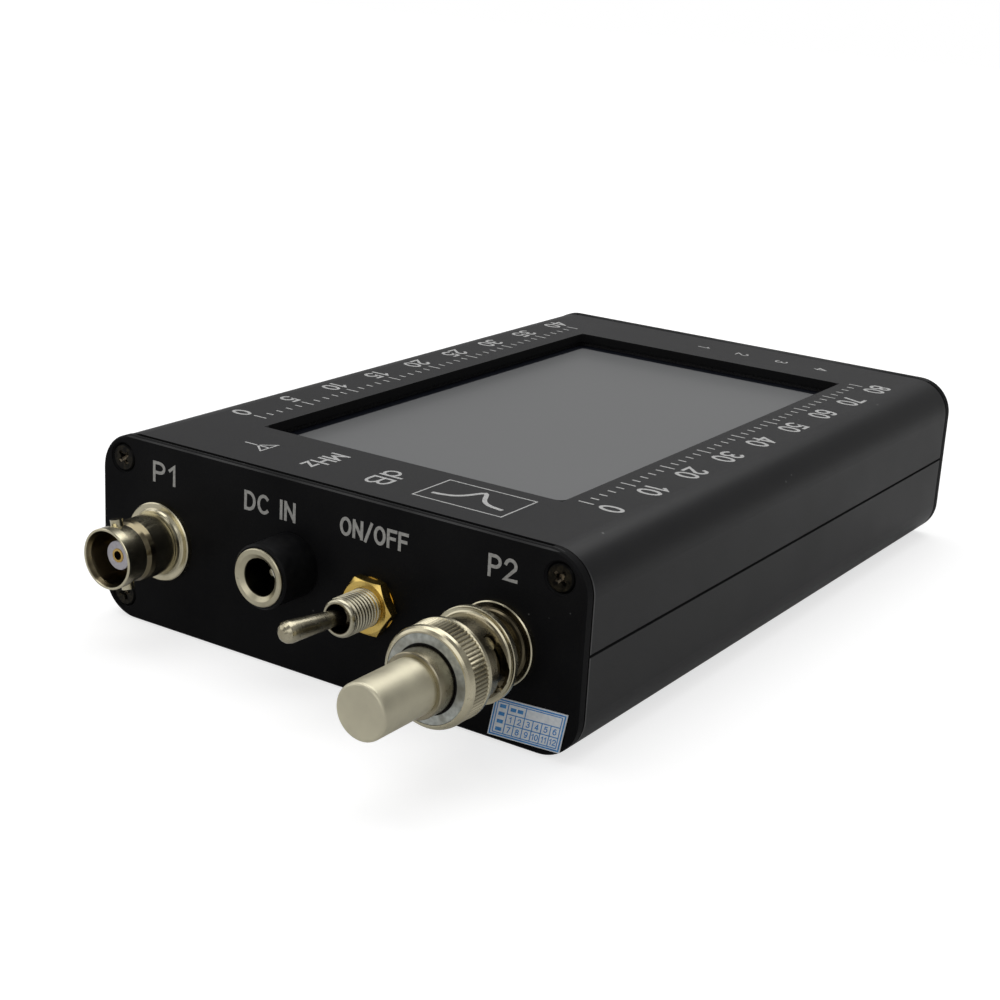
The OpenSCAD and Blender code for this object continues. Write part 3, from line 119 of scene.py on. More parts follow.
# The paper glows for the camera, more so away from the object, where the lamps fall off.
glow_from, glow_to, glow_near, glow_far, glow_in_shine = 0.15, 0.6, 0.68, 1.05, 0.095
paper = bpy.data.materials.new("paper")
paper.use_nodes = True
tree = paper.node_tree
tree.nodes.remove(tree.nodes["Principled BSDF"])
paper_place = node(tree, "ShaderNodeTexCoord").outputs["Object"]
reach = node(tree, "ShaderNodeVectorMath", {0: paper_place}, operation="LENGTH")
rise = spread(tree, reach.outputs["Value"], glow_from, glow_to, glow_near, glow_far)
seen, shine = rays_of(tree)
for_shine = reckon(tree, "MULTIPLY", shine, glow_in_shine)
strength = reckon(tree, "ADD", reckon(tree, "MULTIPLY", seen, rise), for_shine)
sheet = node(tree, "ShaderNodeBsdfDiffuse", {"Color": (paper_tone, paper_tone, paper_tone, 1)})
glow = node(tree, "ShaderNodeEmission", {"Strength": strength})
lit_sheet = node(tree, "ShaderNodeAddShader", {0: sheet, 1: glow})
feed(tree, tree.nodes["Material Output"].inputs["Surface"], lit_sheet)
floor_mesh.materials.append(paper)

# The room's grey changes with height. What doesn't shine is lit by one even level.
room_level = 0.32
room = bpy.data.worlds.new("room")
room.use_nodes = True
scene.world = room
tree = room.node_tree
sky_place = node(tree, "ShaderNodeTexCoord").outputs["Generated"]
sky_split = node(tree, "ShaderNodeSeparateXYZ", {0: sky_place})
sky_tone = node(tree, "ShaderNodeValToRGB", {0: sky_split.outputs["Z"]})
sky_tone.color_ramp.interpolation = "EASE"
sky_steps = sky_tone.color_ramp.elements
sky_steps[0].position, sky_steps[1].position = 0, 1
for step, level in zip(sky_steps, (0.34, 0.16)):
    step.color = (level, level, level, 1)
for height, level in ((0.22, 0.3), (0.4, 0.2), (0.62, 0.34), (0.8, 0.24)):
    sky_steps.new(height).color = (level, level, level, 1)
seen, shine = rays_of(tree)
sky_level = node(tree, "ShaderNodeMix", {0: shine, 2: room_level, 3: sky_tone})
sky_white = node(tree, "ShaderNodeMix", {0: seen, 2: sky_level, 3: 1.0})
sky = tree.nodes["Background"]
sky.inputs["Color"].default_value = (1, 1, 1, 1)
feed(tree, sky.inputs["Strength"], sky_white)


def lamp(name, place, aim, size, power):
    """A rectangular area lamp at place, turned towards aim."""
    data = bpy.data.lights.new(name, "AREA")
    data.shape = "RECTANGLE"
    data.size, data.size_y = size
    data.energy = power
    made = placed(name, data)
    made.location = place
    made.rotation_euler = (Vector(aim) - Vector(place)).to_track_quat("-Z", "Y").to_euler()


lamp("lamp_overhead", (-0.15, 0.15, 0.85), (0, 0, 0), (1.1, 0.8), 5.4)
lamp("lamp_behind", (-0.1, 0.68, 0.6), (0.02, -0.09, 0.015), (0.5, 0.16), 0.35)
lamp("lamp_left", (-0.85, -0.4, 0.45), (0, -0.05, 0.02), (0.9, 0.7), 1.8)
lamp("lamp_front", (0.35, -1.0, 0.6), (0, -0.07, 0.02), (1.1, 0.7), 2.6)

# ---------------------------------------- case shells
# Two extruded aluminium shells close on each other along a tongue at half height.
# Their coat is a fine satin black that has picked up a little dust.


def new_finish(name, metal=0.0, specular=0.5, ior=1.5):
    """A material, and its tree, its shader with plain values, and Object coordinates."""
    made = bpy.data.materials.new(name)
    made.use_nodes = True
    tree = made.node_tree
    shader = tree.nodes["Principled BSDF"]
    shader.inputs["Metallic"].default_value = metal
    shader.inputs["Specular IOR Level"].default_value = specular
    shader.inputs["IOR"].default_value = ior
    return made, tree, shader, node(tree, "ShaderNodeTexCoord").outputs["Object"]


def noise_of(tree, place, scale, detail, stretch=(1, 1, 1)):
    """Noise of so many cells to the metre, stretched along an axis where a stretch is small."""
    mapped = node(tree, "ShaderNodeMapping", {"Vector": place, "Scale": stretch})
    inputs = {"Vector": mapped, "Scale": scale, "Detail": detail}
    return node(tree, "ShaderNodeTexNoise", inputs).outputs["Fac"]


def blend_colours(tree, factor, first, second):
    """Mixes two colours, each a plain colour or another node's output."""
    first, second = ((*c, 1) if isinstance(c, tuple) else c for c in (first, second))
    inputs = {0: factor, 6: first, 7: second}
    return node(tree, "ShaderNodeMix", inputs, data_type="RGBA").outputs[2]


def paint(tree, shader, tone, rough):
    """Gives the shader its tone and its roughness, which may be a number."""
    feed(tree, shader.inputs["Base Color"], tone)
    feed(tree, shader.inputs["Roughness"], rough)


def grain(tree, shader, height, depth, strength):
    """Lets a height in 0 to 1 stand so many metres proud of the surface."""
    inputs = {"Height": height, "Distance": depth, "Strength": strength}
    feed(tree, shader.inputs["Normal"], node(tree, "ShaderNodeBump", inputs))


def dust(tree, place, cells, size, share):
    """Sparse specks: 1 near the middle of a share of random cells, 0 elsewhere."""
    cell = node(tree, "ShaderNodeTexVoronoi", {"Vector": place, "Scale": cells}).outputs
    near = spread(tree, cell["Distance"], size, size * 0.4)
    draw = node(tree, "ShaderNodeSeparateColor", {0: cell["Color"]})
    return reckon(tree, "MULTIPLY", near, spread(tree, draw.outputs[0], 1 - share, 1 - share * 0.7))


def axes_of(tree, place):
    """The X, Y and Z of a place, by name."""
    return node(tree, "ShaderNodeSeparateXYZ", {0: place}).outputs


def dress(material, *names):
    """Gives CAD nodes a material of their own."""
    for name in names:
        mesh = nodes[name].data
        mesh.materials.clear()
        mesh.materials.append(material)


shell_coat, tree, shader, place = new_finish("shell_coat", specular=0.22)
clouds = noise_of(tree, place, 55, 3)
tone = blend_colours(
    tree, spread(tree, clouds, 0.3, 0.7), (0.0115, 0.0115, 0.0125), (0.0165, 0.0165, 0.017)
)
tone = blend_colours(tree, dust(tree, place, 520, 0.13, 0.035), tone, (0.16, 0.16, 0.155))

# The walls of the window, the sawn front end and the seam's groove are painted near black, as
# painted shade, and a thin pale line along the sides of the front end is a painted highlight.
window_middle, window_half, window_low_z = (0.0005, 0.00095), (0.0284, 0.0495), 0.022
shell_end, seam_z, seam_half, wall_skin = -0.0655, 0.0157, 0.00023, 0.00003
highlight_width, highlight_up_to, highlight_fade = 0.0003, 0.0285, 0.003
calc = partial(reckon, tree)
axes = axes_of(tree, place)
shade = calc("GREATER_THAN", axes["Z"], window_low_z)
for axis, middle, half in zip("XY", window_middle, window_half):
    away = calc("ABSOLUTE", calc("SUBTRACT", axes[axis], middle))
    shade = calc("MULTIPLY", shade, calc("LESS_THAN", away, half + wall_skin))
sawn = calc("LESS_THAN", axes["Y"], shell_end + wall_skin)
from_seam = calc("ABSOLUTE", calc("SUBTRACT", axes["Z"], seam_z))
shade = calc("MAXIMUM", calc("MAXIMUM", shade, sawn), calc("LESS_THAN", from_seam, seam_half))
edge_highlight = calc("LESS_THAN", axes["Y"], shell_end + highlight_width)
edge_highlight = calc("MULTIPLY", edge_highlight, spread(tree, axes["Z"], highlight_up_to - highlight_fade, highlight_up_to, 0.8, 0))
tone = blend_colours(tree, edge_highlight, tone, (0.1, 0.1, 0.1))
tone = blend_colours(tree, shade, tone, (0.001, 0.001, 0.0015))
coat_rough = spread(tree, clouds, 0.3, 0.7, 0.34, 0.42)
paint(tree, shader, tone, calc("ADD", coat_rough, calc("MULTIPLY", shade, 0.5)))
grain(tree, shader, noise_of(tree, place, 5200, 2), 0.00004, 0.5)
dress(shell_coat, "top_shell", "bottom_shell")

# ---------------------------------------- end plates
# Two flat aluminium plates with a fine bevel round the outer face. Their black is deeper
# and duller than the shells', with dust. Pale lines along their top edges are painted highlights.
highlight_above_z = 0.0302
# Two painted highlight lines on the front plate and one on the rear plate, each from y to y.
highlight_lines = ((-0.0676, -0.06727), (-0.0667, -0.06655), (0.0655, 0.0676))

plate_coat, tree, shader, place = new_finish("plate_coat", ior=1.12)
clouds = noise_of(tree, place, 70, 3)
tone = blend_colours(
    tree, spread(tree, clouds, 0.3, 0.7), (0.0045, 0.0045, 0.005), (0.009, 0.009, 0.0095)
)
calc = partial(reckon, tree)
axes = axes_of(tree, place)
# Pale lines painted along the top edges, as painted highlights.
edge_highlight = 0
for near, far in highlight_lines:
    beyond, before = calc("GREATER_THAN", axes["Y"], near), calc("LESS_THAN", axes["Y"], far)
    edge_highlight = calc("ADD", edge_highlight, calc("MULTIPLY", beyond, before))
edge_highlight = calc("MULTIPLY", edge_highlight, calc("GREATER_THAN", axes["Z"], highlight_above_z))
edge_highlight = calc("MULTIPLY", edge_highlight, spread(tree, clouds, 0.35, 0.65, 0.3, 1))
tone = blend_colours(tree, edge_highlight, tone, (0.055, 0.055, 0.055))
tone = blend_colours(tree, dust(tree, place, 610, 0.12, 0.07), tone, (0.13, 0.13, 0.125))
paint(tree, shader, tone, spread(tree, clouds, 0.3, 0.7, 0.4, 0.52))
grain(tree, shader, noise_of(tree, place, 4200, 2), 0.00004, 0.5)
dress(plate_coat, "front_plate", "rear_plate")

# ---------------------------------------- plate screws
# Eight countersunk screws of blackened steel hold the plates, each with a cross recess
# that narrows inwards. They are set on points, and each is turned its own way.
front_face, case_half_w, case_h = -0.0675, 0.045, 0.0305
screw_in_x, screw_in_z, screw_sunk = 0.0044, 0.0039, 0.00006
screw_side = case_half_w - screw_in_x
screw_low, screw_high = screw_in_z, case_h - screw_in_z
screw_turns = (22, 40, 8, 52, 15, 62, 33, 81)
face_r, soft_edge, rim_r, rim_end, head_sides = 0.00195, 0.00004, 0.002425, 0.0005, 48
cone_end, shank_r, shank_end, tip_r, tip_end = 0.0012, 0.0014, 0.0084, 0.001, 0.009
arm, arm_w, recess, narrow_along, narrow_across = 0.00125, 0.0003, 0.00105, 0.42, 0.8
inner_corner = arm_w * 1.25

screw_steel, tree, shader, place = new_finish("blackened_steel", metal=0.6, specular=0.2)
wear_and_glint_map = noise_of(tree, place, 1500, 3)
tone = blend_colours(
    tree, spread(tree, wear_and_glint_map, 0.4, 0.7), (0.005, 0.0045, 0.0035), (0.028, 0.023, 0.014)
)
# The recess is painted brighter in spots, as painted glints, and the head's edge is painted
# near black, as painted shade in the gap round it.
glint_below, edge_shade_from, edge_shade_to = 0.0002, 0.00186, 0.00196
calc = partial(reckon, tree)
axes = axes_of(tree, place)
case_middle_z = (screw_low + screw_high) / 2
from_column = calc("SUBTRACT", calc("ABSOLUTE", axes["X"]), screw_side)
off_middle = calc("ABSOLUTE", calc("SUBTRACT", axes["Z"], case_middle_z))
from_row = calc("SUBTRACT", off_middle, screw_high - case_middle_z)
from_screw = calc("SQRT", calc("ADD", calc("POWER", from_column, 2), calc("POWER", from_row, 2)))
sunk = calc("GREATER_THAN", axes["Y"], front_face + glint_below)
recess_glint = calc("MULTIPLY", sunk, calc("LESS_THAN", from_screw, arm))
recess_glint = calc("MULTIPLY", recess_glint, spread(tree, wear_and_glint_map, 0.48, 0.58))
tone = blend_colours(tree, recess_glint, tone, (0.3, 0.25, 0.18))
edge = spread(tree, from_screw, edge_shade_from, edge_shade_to)
tone = blend_colours(tree, edge, tone, (0.001, 0.001, 0.001))
paint(tree, shader, tone, spread(tree, wear_and_glint_map, 0.3, 0.7, 0.28, 0.45))
grain(tree, shader, noise_of(tree, place, 6000, 2), 0.00002, 0.5)


def round_off(data, degrees):
    """Smooth shading, but not across edges sharper than an angle."""
    data.shade_smooth()
    data.set_sharp_from_angle(angle=math.radians(degrees))


def plain_object(name, bm, material, smooth=None):
    """A mesh object from a bmesh, at the origin, with smooth shading below an angle."""
    data = bpy.data.meshes.new(name)
    bmesh.ops.remove_doubles(bm, verts=bm.verts, dist=1e-7)
    bmesh.ops.recalc_face_normals(bm, faces=bm.faces)
    bm.to_mesh(data)
    bm.free()
    data.materials.append(material)
    if smooth is not None:
        round_off(data, smooth)
    return placed(name, data)


def circle(radius, sides, height=0.0):
    """Points round +Z."""
    turns = [2 * math.pi * k / sides for k in range(sides)]
    return [(radius * math.cos(a), radius * math.sin(a), height) for a in turns]


def lathe(bm, profile, sides):
    """Turns a profile of (radius, height) round +Z. It may end on the axis, at radius 0."""
    rings = []
    for radius, height in profile:
        points = circle(radius, sides, height) if radius else [(0, 0, height)]
        rings.append([bm.verts.new(point) for point in points])
    for low, high in zip(rings, rings[1:]):
        for k in range(sides):
            m = (k + 1) % sides
            bm.faces.new((low[k], low[m], *((high[m], high[k]) if len(high) > 1 else high)))


def fill_between(bm, *loops):
    """Fills the flat between loops of vertices with triangles."""
    pairs = [pair for loop in loops for pair in zip(loop, loop[1:] + loop[:1])]
    edges = [bm.edges.new(pair) for pair in pairs]
    bmesh.ops.triangle_fill(bm, use_beauty=True, use_dissolve=False, edges=edges)


# The head: a countersunk cone under a flat face with a softened edge, and the recess
# as a four-armed star that narrows as it goes down.
bm = bmesh.new()
star = []
for k in range(4):
    turn = Matrix.Rotation(math.pi / 2 * k, 3, "Z")
    for x, y in ((arm, -arm_w), (arm, arm_w), (inner_corner, inner_corner)):
        star.append(turn @ Vector((x, y, 0)))
top_edge = [bm.verts.new(p) for p in circle(face_r, head_sides)]
star_top = [bm.verts.new(p) for p in star]
star_low = []
for p in star:
    in_x, in_y = narrow_across, narrow_along
    if abs(p.x) > abs(p.y):
        in_x, in_y = in_y, in_x
    star_low.append(bm.verts.new((p.x * in_x, p.y * in_y, -recess)))
fill_between(bm, top_edge, star_top)
for k in range(len(star)):
    m = (k + 1) % len(star)
    bm.faces.new((star_top[k], star_top[m], star_low[m], star_low[k]))
bm.faces.new(list(reversed(star_low)))
screw_profile = [
    (face_r, 0), (face_r + soft_edge, -soft_edge), (rim_r, -rim_end),
    (shank_r, -cone_end), (shank_r, -shank_end), (tip_r, -tip_end), (0, -tip_end),
]
lathe(bm, screw_profile, head_sides)
screw_model = plain_object("screw_model", bm, screw_steel, 35)

screw_places = [
    (side_x * screw_side, side_y * (-front_face - screw_sunk), z)
    for side_y in (-1, 1)
    for side_x in (-1, 1)
    for z in (screw_low, screw_high)
]
screw_points = bpy.data.meshes.new("plate_screw_set")
screw_points.from_pydata(screw_places, [], [])
turns = screw_points.attributes.new("turn", "FLOAT", "POINT")
turns.data.foreach_set("value", [math.radians(turn) for turn in screw_turns])


def new_tree(name, inputs):
    """A Geometry Nodes tree with named inputs, and what they give."""
    made = bpy.data.node_groups.new(name, "GeometryNodeTree")
    for label, kind in [("Geometry", "Geometry")] + inputs:
        made.interface.new_socket(label, in_out="INPUT", socket_type="NodeSocket" + kind)
    made.interface.new_socket("Geometry", in_out="OUTPUT", socket_type="NodeSocketGeometry")
    return made, node(made, "NodeGroupInput").outputs


def finish_tree(made, source, given):
    """Realizes what source puts out, and gives it the tree's Material input."""
    real = node(made, "GeometryNodeRealizeInstances", {0: source})
    inputs = {"Geometry": real, "Material": given["Material"]}
    node(made, "NodeGroupOutput", {0: node(made, "GeometryNodeSetMaterial", inputs)})


def grown(obj, group, values, name, smooth=None):
    """Runs a tree on obj, and swaps obj for the plain mesh that comes out."""
    modifier = obj.modifiers.new("grow", "NODES")
    modifier.node_group = group
    for item in group.interface.items_tree:
        if item.in_out == "INPUT" and item.name in values:
            modifier[item.identifier] = values[item.name]
    graph = bpy.context.evaluated_depsgraph_get()
    data = bpy.data.meshes.new_from_object(obj.evaluated_get(graph))
    data.name = name
    obj.modifiers.remove(modifier)
    bpy.data.objects.remove(obj)
    if smooth is not None:
        round_off(data, smooth)
    return placed(name, data)


screw_tree, given = new_tree("set_screws", [("Screw", "Object"), ("Material", "Material")])
where = node(screw_tree, "GeometryNodeInputPosition").outputs[0]
behind = reckon(screw_tree, "GREATER_THAN", axes_of(screw_tree, where)["Y"], 0)
half_turn = reckon(screw_tree, "MULTIPLY", behind, math.pi)
stand = node(screw_tree, "ShaderNodeCombineXYZ", {"X": math.pi / 2, "Z": half_turn})
model = node(screw_tree, "GeometryNodeObjectInfo", {"Object": given["Screw"]})
screw = model.outputs["Geometry"]
inputs = {"Points": given["Geometry"], "Instance": screw, "Rotation": stand}
put = node(screw_tree, "GeometryNodeInstanceOnPoints", inputs)
turn = node(screw_tree, "GeometryNodeInputNamedAttribute", {"Name": "turn"}, data_type="FLOAT")
own = node(screw_tree, "ShaderNodeCombineXYZ", {"Z": turn.outputs["Attribute"]})
inputs = {"Instances": put, "Rotation": own, "Local Space": True}
finish_tree(screw_tree, node(screw_tree, "GeometryNodeRotateInstances", inputs), given)

plate_screws = grown(
    placed("plate_screw_set", screw_points),
    screw_tree,
    {"Screw": screw_model, "Material": screw_steel},
    "plate_screw_set",
    35,
)
bpy.data.objects.remove(screw_model)
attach(plate_screws, "case")
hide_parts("plate_screws")

# ---------------------------------------- front legends
# Pale grey screen print on the front plate, over each jack and the toggle.
# The ink is a film three hundredths of a millimetre thick.
ink_t, front_pen = 0.00003, 0.0005


def mottled(name, rough, tones, cells, detail, relief=None, span=(0.3, 0.7),
            stretch=(1, 1, 1), **plain):
    """A finish whose tone, and roughness where it is a pair, drift with one noise.

    Its relief is a depth and a strength, and then the noise of its own, if it has one."""
    made, tree, shader, place = new_finish(name, **plain)
    drift = noise_of(tree, place, cells, detail, stretch)
    tone = blend_colours(tree, spread(tree, drift, *span), *tones)
    if isinstance(rough, tuple):
        rough = spread(tree, drift, *span, *rough)
    paint(tree, shader, tone, rough)
    if relief:
        depth, strength, *own = relief
        grain(tree, shader, noise_of(tree, place, *own) if own else drift, depth, strength)
    return made


ink = mottled(
    "legend_ink", 0.55, [(0.29, 0.285, 0.27), (0.41, 0.405, 0.385)],
    2500, 3, relief=(0.00001, 0.4), specular=0.3,
)


def ribbon(bm, points, pen, place, lift=0.0, cap=0.0):
    """Adds a flat ribbon of ink along some points, mitred where it turns, under a matrix.

    Its top is lifted so much over the film's, and its open ends reach so far past the points."""
    same, mitre_limit = pen * 0.05, 0.5
    path = [Vector(points[0])]
    for point in points[1:]:
        if (Vector(point) - path[-1]).length > same:
            path.append(Vector(point))
    closed = (path[0] - path[-1]).length < same
    if closed:
        path.pop()
    elif cap:
        path[0] += (path[0] - path[1]).normalized() * cap
        path[-1] += (path[-1] - path[-2]).normalized() * cap
    count = len(path)
    sides = []
    for i, here in enumerate(path):
        arrive = here - path[i - 1] if i or closed else path[1] - here
        leave = path[(i + 1) % count] - here if i < count - 1 or closed else arrive
        arrive, leave = arrive.normalized(), leave.normalized()
        along = (arrive + leave).normalized()
        aside = Vector((-along.y, along.x))
        reach = pen / 2 / max(mitre_limit, aside.dot(Vector((-leave.y, leave.x))))
        sides.append((here + aside * reach, here - aside * reach))
    low, high = (
        [[bm.verts.new(place @ Vector((p.x, p.y, z))) for p in pair] for pair in sides]
        for z in (0, ink_t + lift)
    )
    for i in range(count if closed else count - 1):
        m = (i + 1) % count
        bm.faces.new((high[i][0], high[i][1], high[m][1], high[m][0]))
        bm.faces.new((low[i][0], low[m][0], low[m][1], low[i][1]))
        bm.faces.new((low[i][0], high[i][0], high[m][0], low[m][0]))
        bm.faces.new((low[i][1], low[m][1], high[m][1], high[i][1]))
    if not closed:
        for i in (0, count - 1):
            bm.faces.new((low[i][0], low[i][1], high[i][1], high[i][0]))


def bow(x, y, wide, tall, start, stop, steps=12):
    """The points of an arc of an ellipse, between two angles in degrees."""
    turns = [math.radians(start + (stop - start) * i / steps) for i in range(steps + 1)]
    return [(x + wide * math.cos(a), y + tall * math.sin(a)) for a in turns]


# Each letter's width and pen strokes, where a capital is 1 high. No stroke lies on itself,
# and each is lifted a little over the last, so that none share a face.
six = [bow(0.34, 0.4, 0.33, 0.6, 65, 180), bow(0.3, 0.31, 0.29, 0.31, 180, 540, 18)]
letters = {
    " ": (0.3, []),
    "/": (0.4, [[(0, -0.06), (0.4, 1.06)]]),
    "0": (0.58, [bow(0.29, 0.5, 0.29, 0.5, 90, 450, 20)]),
    "1": (0.36, [[(0.04, 0.76), (0.28, 1), (0.28, 0)]]),
    "2": (0.58, [bow(0.29, 0.71, 0.27, 0.29, 165, -25) + [(0, 0), (0.6, 0)]]),
    "3": (0.58, [bow(0.27, 0.76, 0.26, 0.24, 150, -90), bow(0.27, 0.27, 0.31, 0.27, 90, -150)]),
    "4": (0.62, [[(0.45, 0), (0.45, 1)], [(0.42, 0.95), (0, 0.27), (0.62, 0.27)]]),
    "5": (0.58, [[(0.53, 1), (0.1, 1), (0.05, 0.53)] + bow(0.27, 0.33, 0.31, 0.33, 120, -145)]),
    "6": (0.58, six),
    "7": (0.58, [[(0, 1), (0.58, 1), (0.2, 0)]]),
    "8": (0.6, [bow(0.3, 0.77, 0.24, 0.23, -90, 270, 16), bow(0.3, 0.27, 0.3, 0.27, 90, 450, 18)]),
    "9": (0.58, [[(0.6 - x, 1 - y) for x, y in stroke] for stroke in six]),
    "B": (0.58, [
        [(0, 0), (0, 1)],
        [(0, 1), (0.28, 1)] + bow(0.28, 0.76, 0.24, 0.24, 90, -90) + [(0, 0.52)],
        [(0, 0.52), (0.3, 0.52)] + bow(0.3, 0.26, 0.28, 0.26, 90, -90) + [(0, 0)],
    ]),
    "C": (0.6, [bow(0.33, 0.5, 0.33, 0.5, 48, 312, 18)]),
    "D": (0.58, [[(0, 0), (0, 1), (0.22, 1)] + bow(0.22, 0.5, 0.36, 0.5, 90, -90, 14) + [(0, 0)]]),
    "F": (0.52, [[(0, 0), (0, 1), (0.52, 1)], [(0, 0.52), (0.44, 0.52)]]),
    "H": (0.56, [[(0, 0), (0, 1)], [(0.56, 0), (0.56, 1)], [(0, 0.52), (0.56, 0.52)]]),
    "I": (0.0, [[(0, 0), (0, 1)]]),
    "M": (0.7, [[(0, 0), (0, 1)], [(0.03, 0.9), (0.35, 0.3), (0.67, 0.9)], [(0.7, 1), (0.7, 0)]]),
    "N": (0.56, [[(0, 0), (0, 1)], [(0.03, 0.93), (0.53, 0.07)], [(0.56, 1), (0.56, 0)]]),
    "O": (0.64, [bow(0.32, 0.5, 0.32, 0.5, 90, 450, 20)]),
    "P": (0.56, [
        [(0, 0), (0, 1)], [(0, 1), (0.28, 1)] + bow(0.28, 0.73, 0.28, 0.27, 90, -90) + [(0, 0.46)],
    ]),
    "d": (0.48, [[(0.48, 1), (0.48, 0)], bow(0.25, 0.33, 0.23, 0.33, 0, 360, 16)]),
    "z": (0.44, [[(0, 0.66), (0.44, 0.66), (0, 0), (0.44, 0)]]),
}
letter_gap = 0.28
stroke_lift = 0.000003


def lettering(bm, words, height, pen, place, width=None):
    """Adds some words, centred, with capitals of that height, and as wide as asked."""
    natural = sum(letters[c][0] for c in words) + letter_gap * (len(words) - 1)
    tall = height - pen
    wide = (width - pen) / natural if width else tall
    x = -natural / 2
    for character in words:
        own_width, strokes = letters[character]
        for k, points in enumerate(strokes):
            path = [((x + px) * wide, (py - 0.5) * tall) for px, py in points]
            ribbon(bm, path, pen, place, lift=k * stroke_lift, cap=pen / 2)
        x += own_width + letter_gap


def film(name, bm, material, body):
    """One object of all the ink that lies on a surface."""
    made = plain_object(name, bm, material)
    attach(made, body)
    return made


def on_front(x, z, proud=0.0):
    """A place on the front plate, or so far in front of it, read from the front."""
    return Matrix.Translation((x, front_face - proud, z)) @ Matrix.Rotation(math.pi / 2, 4, "X")


# The words, their height and width, and the x and z of their middle.
front_words = [
    ("P1", 0.0034, 0.0050, -0.0317, 0.0258),
    ("DC IN", 0.0031, 0.0100, -0.01045, 0.0253),
    ("ON/OFF", 0.0029, 0.0124, 0.0091, 0.0255),
    ("P2", 0.0034, 0.0049, 0.0314, 0.0258),
]
bm = bmesh.new()
for words, height, width, x, z in front_words:
    lettering(bm, words, height, front_pen, on_front(x, z), width)
film("front_legends", bm, ink, "case")

# ---------------------------------------- top legends
# Pale print on the top shell, read from the rear: a scale of ticks and plain numbers
# along each side of the window, two units and a small resonance curve in front of it.
top_face = 0.0304
tick_count, tick_pitch, ticks_each = 41, 0.00245, 5
tick_pen, short_tick, long_tick = 0.00032, 0.0014, 0.0026

print_white = mottled(
    "top_ink", 0.5, [(0.36, 0.36, 0.36), (0.5, 0.5, 0.49)],
    2500, 3, relief=(0.00001, 0.4), specular=0.3,
)


def on_top(x, y, turn=-90):
    """The place of a film on the top shell. Unturned, it reads from rear to front."""
    return Matrix.Translation((x, y, top_face)) @ Matrix.Rotation(math.radians(turn), 4, "Z")


tick_tree, given = new_tree(
    "tick_scale",
    [
        ("Count", "Int"), ("Pitch", "Float"), ("Stroke", "Float"), ("Short Tick", "Float"),
        ("Long Tick", "Float"), ("Every", "Int"), ("Film", "Float"), ("Material", "Material"),
    ],
)
step = node(tick_tree, "ShaderNodeCombineXYZ", {"Y": given["Pitch"]})
row = node(tick_tree, "GeometryNodeMeshLine", {"Count": given["Count"], "Offset": step})
inputs = {"X": 1, "Y": given["Stroke"], "Z": given["Film"]}
bar_size = node(tick_tree, "ShaderNodeCombineXYZ", inputs)
bar = node(tick_tree, "GeometryNodeMeshCube", {"Size": bar_size})
index = node(tick_tree, "GeometryNodeInputIndex").outputs[0]
is_long = reckon(tick_tree, "LESS_THAN", reckon(tick_tree, "MODULO", index, given["Every"]), 0.5)
inputs = {0: is_long, 2: given["Short Tick"], 3: given["Long Tick"]}
length = node(tick_tree, "ShaderNodeMix", inputs)
bar_scale = node(tick_tree, "ShaderNodeCombineXYZ", {"X": length, "Y": 1, "Z": 1})
inputs = {"Points": row, "Instance": bar, "Scale": bar_scale}
finish_tree(tick_tree, node(tick_tree, "GeometryNodeInstanceOnPoints", inputs), given)


def tick_scale(name, x, y):
    """A row of ticks on the top shell, centred on x, starting at y and running back."""
    values = {
        "Count": tick_count, "Pitch": tick_pitch, "Stroke": tick_pen, "Short Tick": short_tick,
        "Long Tick": long_tick, "Every": ticks_each, "Film": ink_t, "Material": print_white,
    }
    made = grown(placed(name, bpy.data.meshes.new(name)), tick_tree, values, name)
    made.data.transform(Matrix.Translation((x, y, top_face + ink_t / 2)))
    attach(made, "case")
    return made


# Each scale: its piece, the x and y of its first tick, how far its numbers step, and
# their x, height and pen.
scales = [
    ("right_ticks", 0.0318, -0.0466, 10, 0.0361, 0.0041, 0.0006),
    ("left_ticks", -0.0322, -0.0446, 5, -0.0362, 0.0037, 0.00055),
]
bm = bmesh.new()
for name, x, start, count_by, number_x, height, pen in scales:
    tick_scale(name, x, start)
    for i in range(tick_count // ticks_each + 1):
        y = start + i * ticks_each * tick_pitch
        lettering(bm, str(count_by * i), height, pen, on_top(number_x, y))

# The words, their height, pen and width, and the x and y of their middle.
top_words = [
    ("MHz", 0.0036, 0.0005, 0.0082, -0.0089, -0.0565),
    ("dB", 0.0042, 0.0005, 0.0074, 0.0033, -0.057),
]
for words, height, pen, width, x, y in top_words:
    lettering(bm, words, height, pen, on_top(x, y), width)
rear_y, rear_h, rear_pen = 0.0585, 0.0026, 0.0003
for i, x in enumerate((-0.004, 0.0045, 0.013, 0.0215)):
    lettering(bm, str(i + 1), rear_h, rear_pen, on_top(x, rear_y))


def frame_line(half_w, half_h):
    """The closed outline of a frame about its middle."""
    return [(x * half_w, y * half_h) for x, y in corners + corners[:1]]


chart_w, chart_h, chart_pen = 0.0155, 0.0095, 0.00026
curve_half, curve_steps, curve_pen = 0.0062, 32, 0.0007
curve_top, dip, dip_half = 0.0024, 0.0052, 0.0016
aerial_half, aerial_top, mast_foot, aerial_pen = 0.0021, 0.0023, -0.0026, 0.00034
chart_place = on_top(0.0186, -0.0561, 180)
ribbon(bm, frame_line(chart_w / 2, chart_h / 2), chart_pen, chart_place)
dip_x = [-curve_half + 2 * curve_half * i / curve_steps for i in range(curve_steps + 1)]
curve = [(x, curve_top - dip / (1 + (x / dip_half) ** 2)) for x in dip_x]
ribbon(bm, curve, curve_pen, chart_place)
antenna_place = on_top(-0.0216, -0.0574)
fan = [(-aerial_half, aerial_top), (aerial_half, aerial_top), (0, 0), (-aerial_half, aerial_top)]
ribbon(bm, fan, aerial_pen, antenna_place)
ribbon(bm, [(0, aerial_top), (0, mast_foot)], aerial_pen, antenna_place)
film("top_legends", bm, print_white, "case")

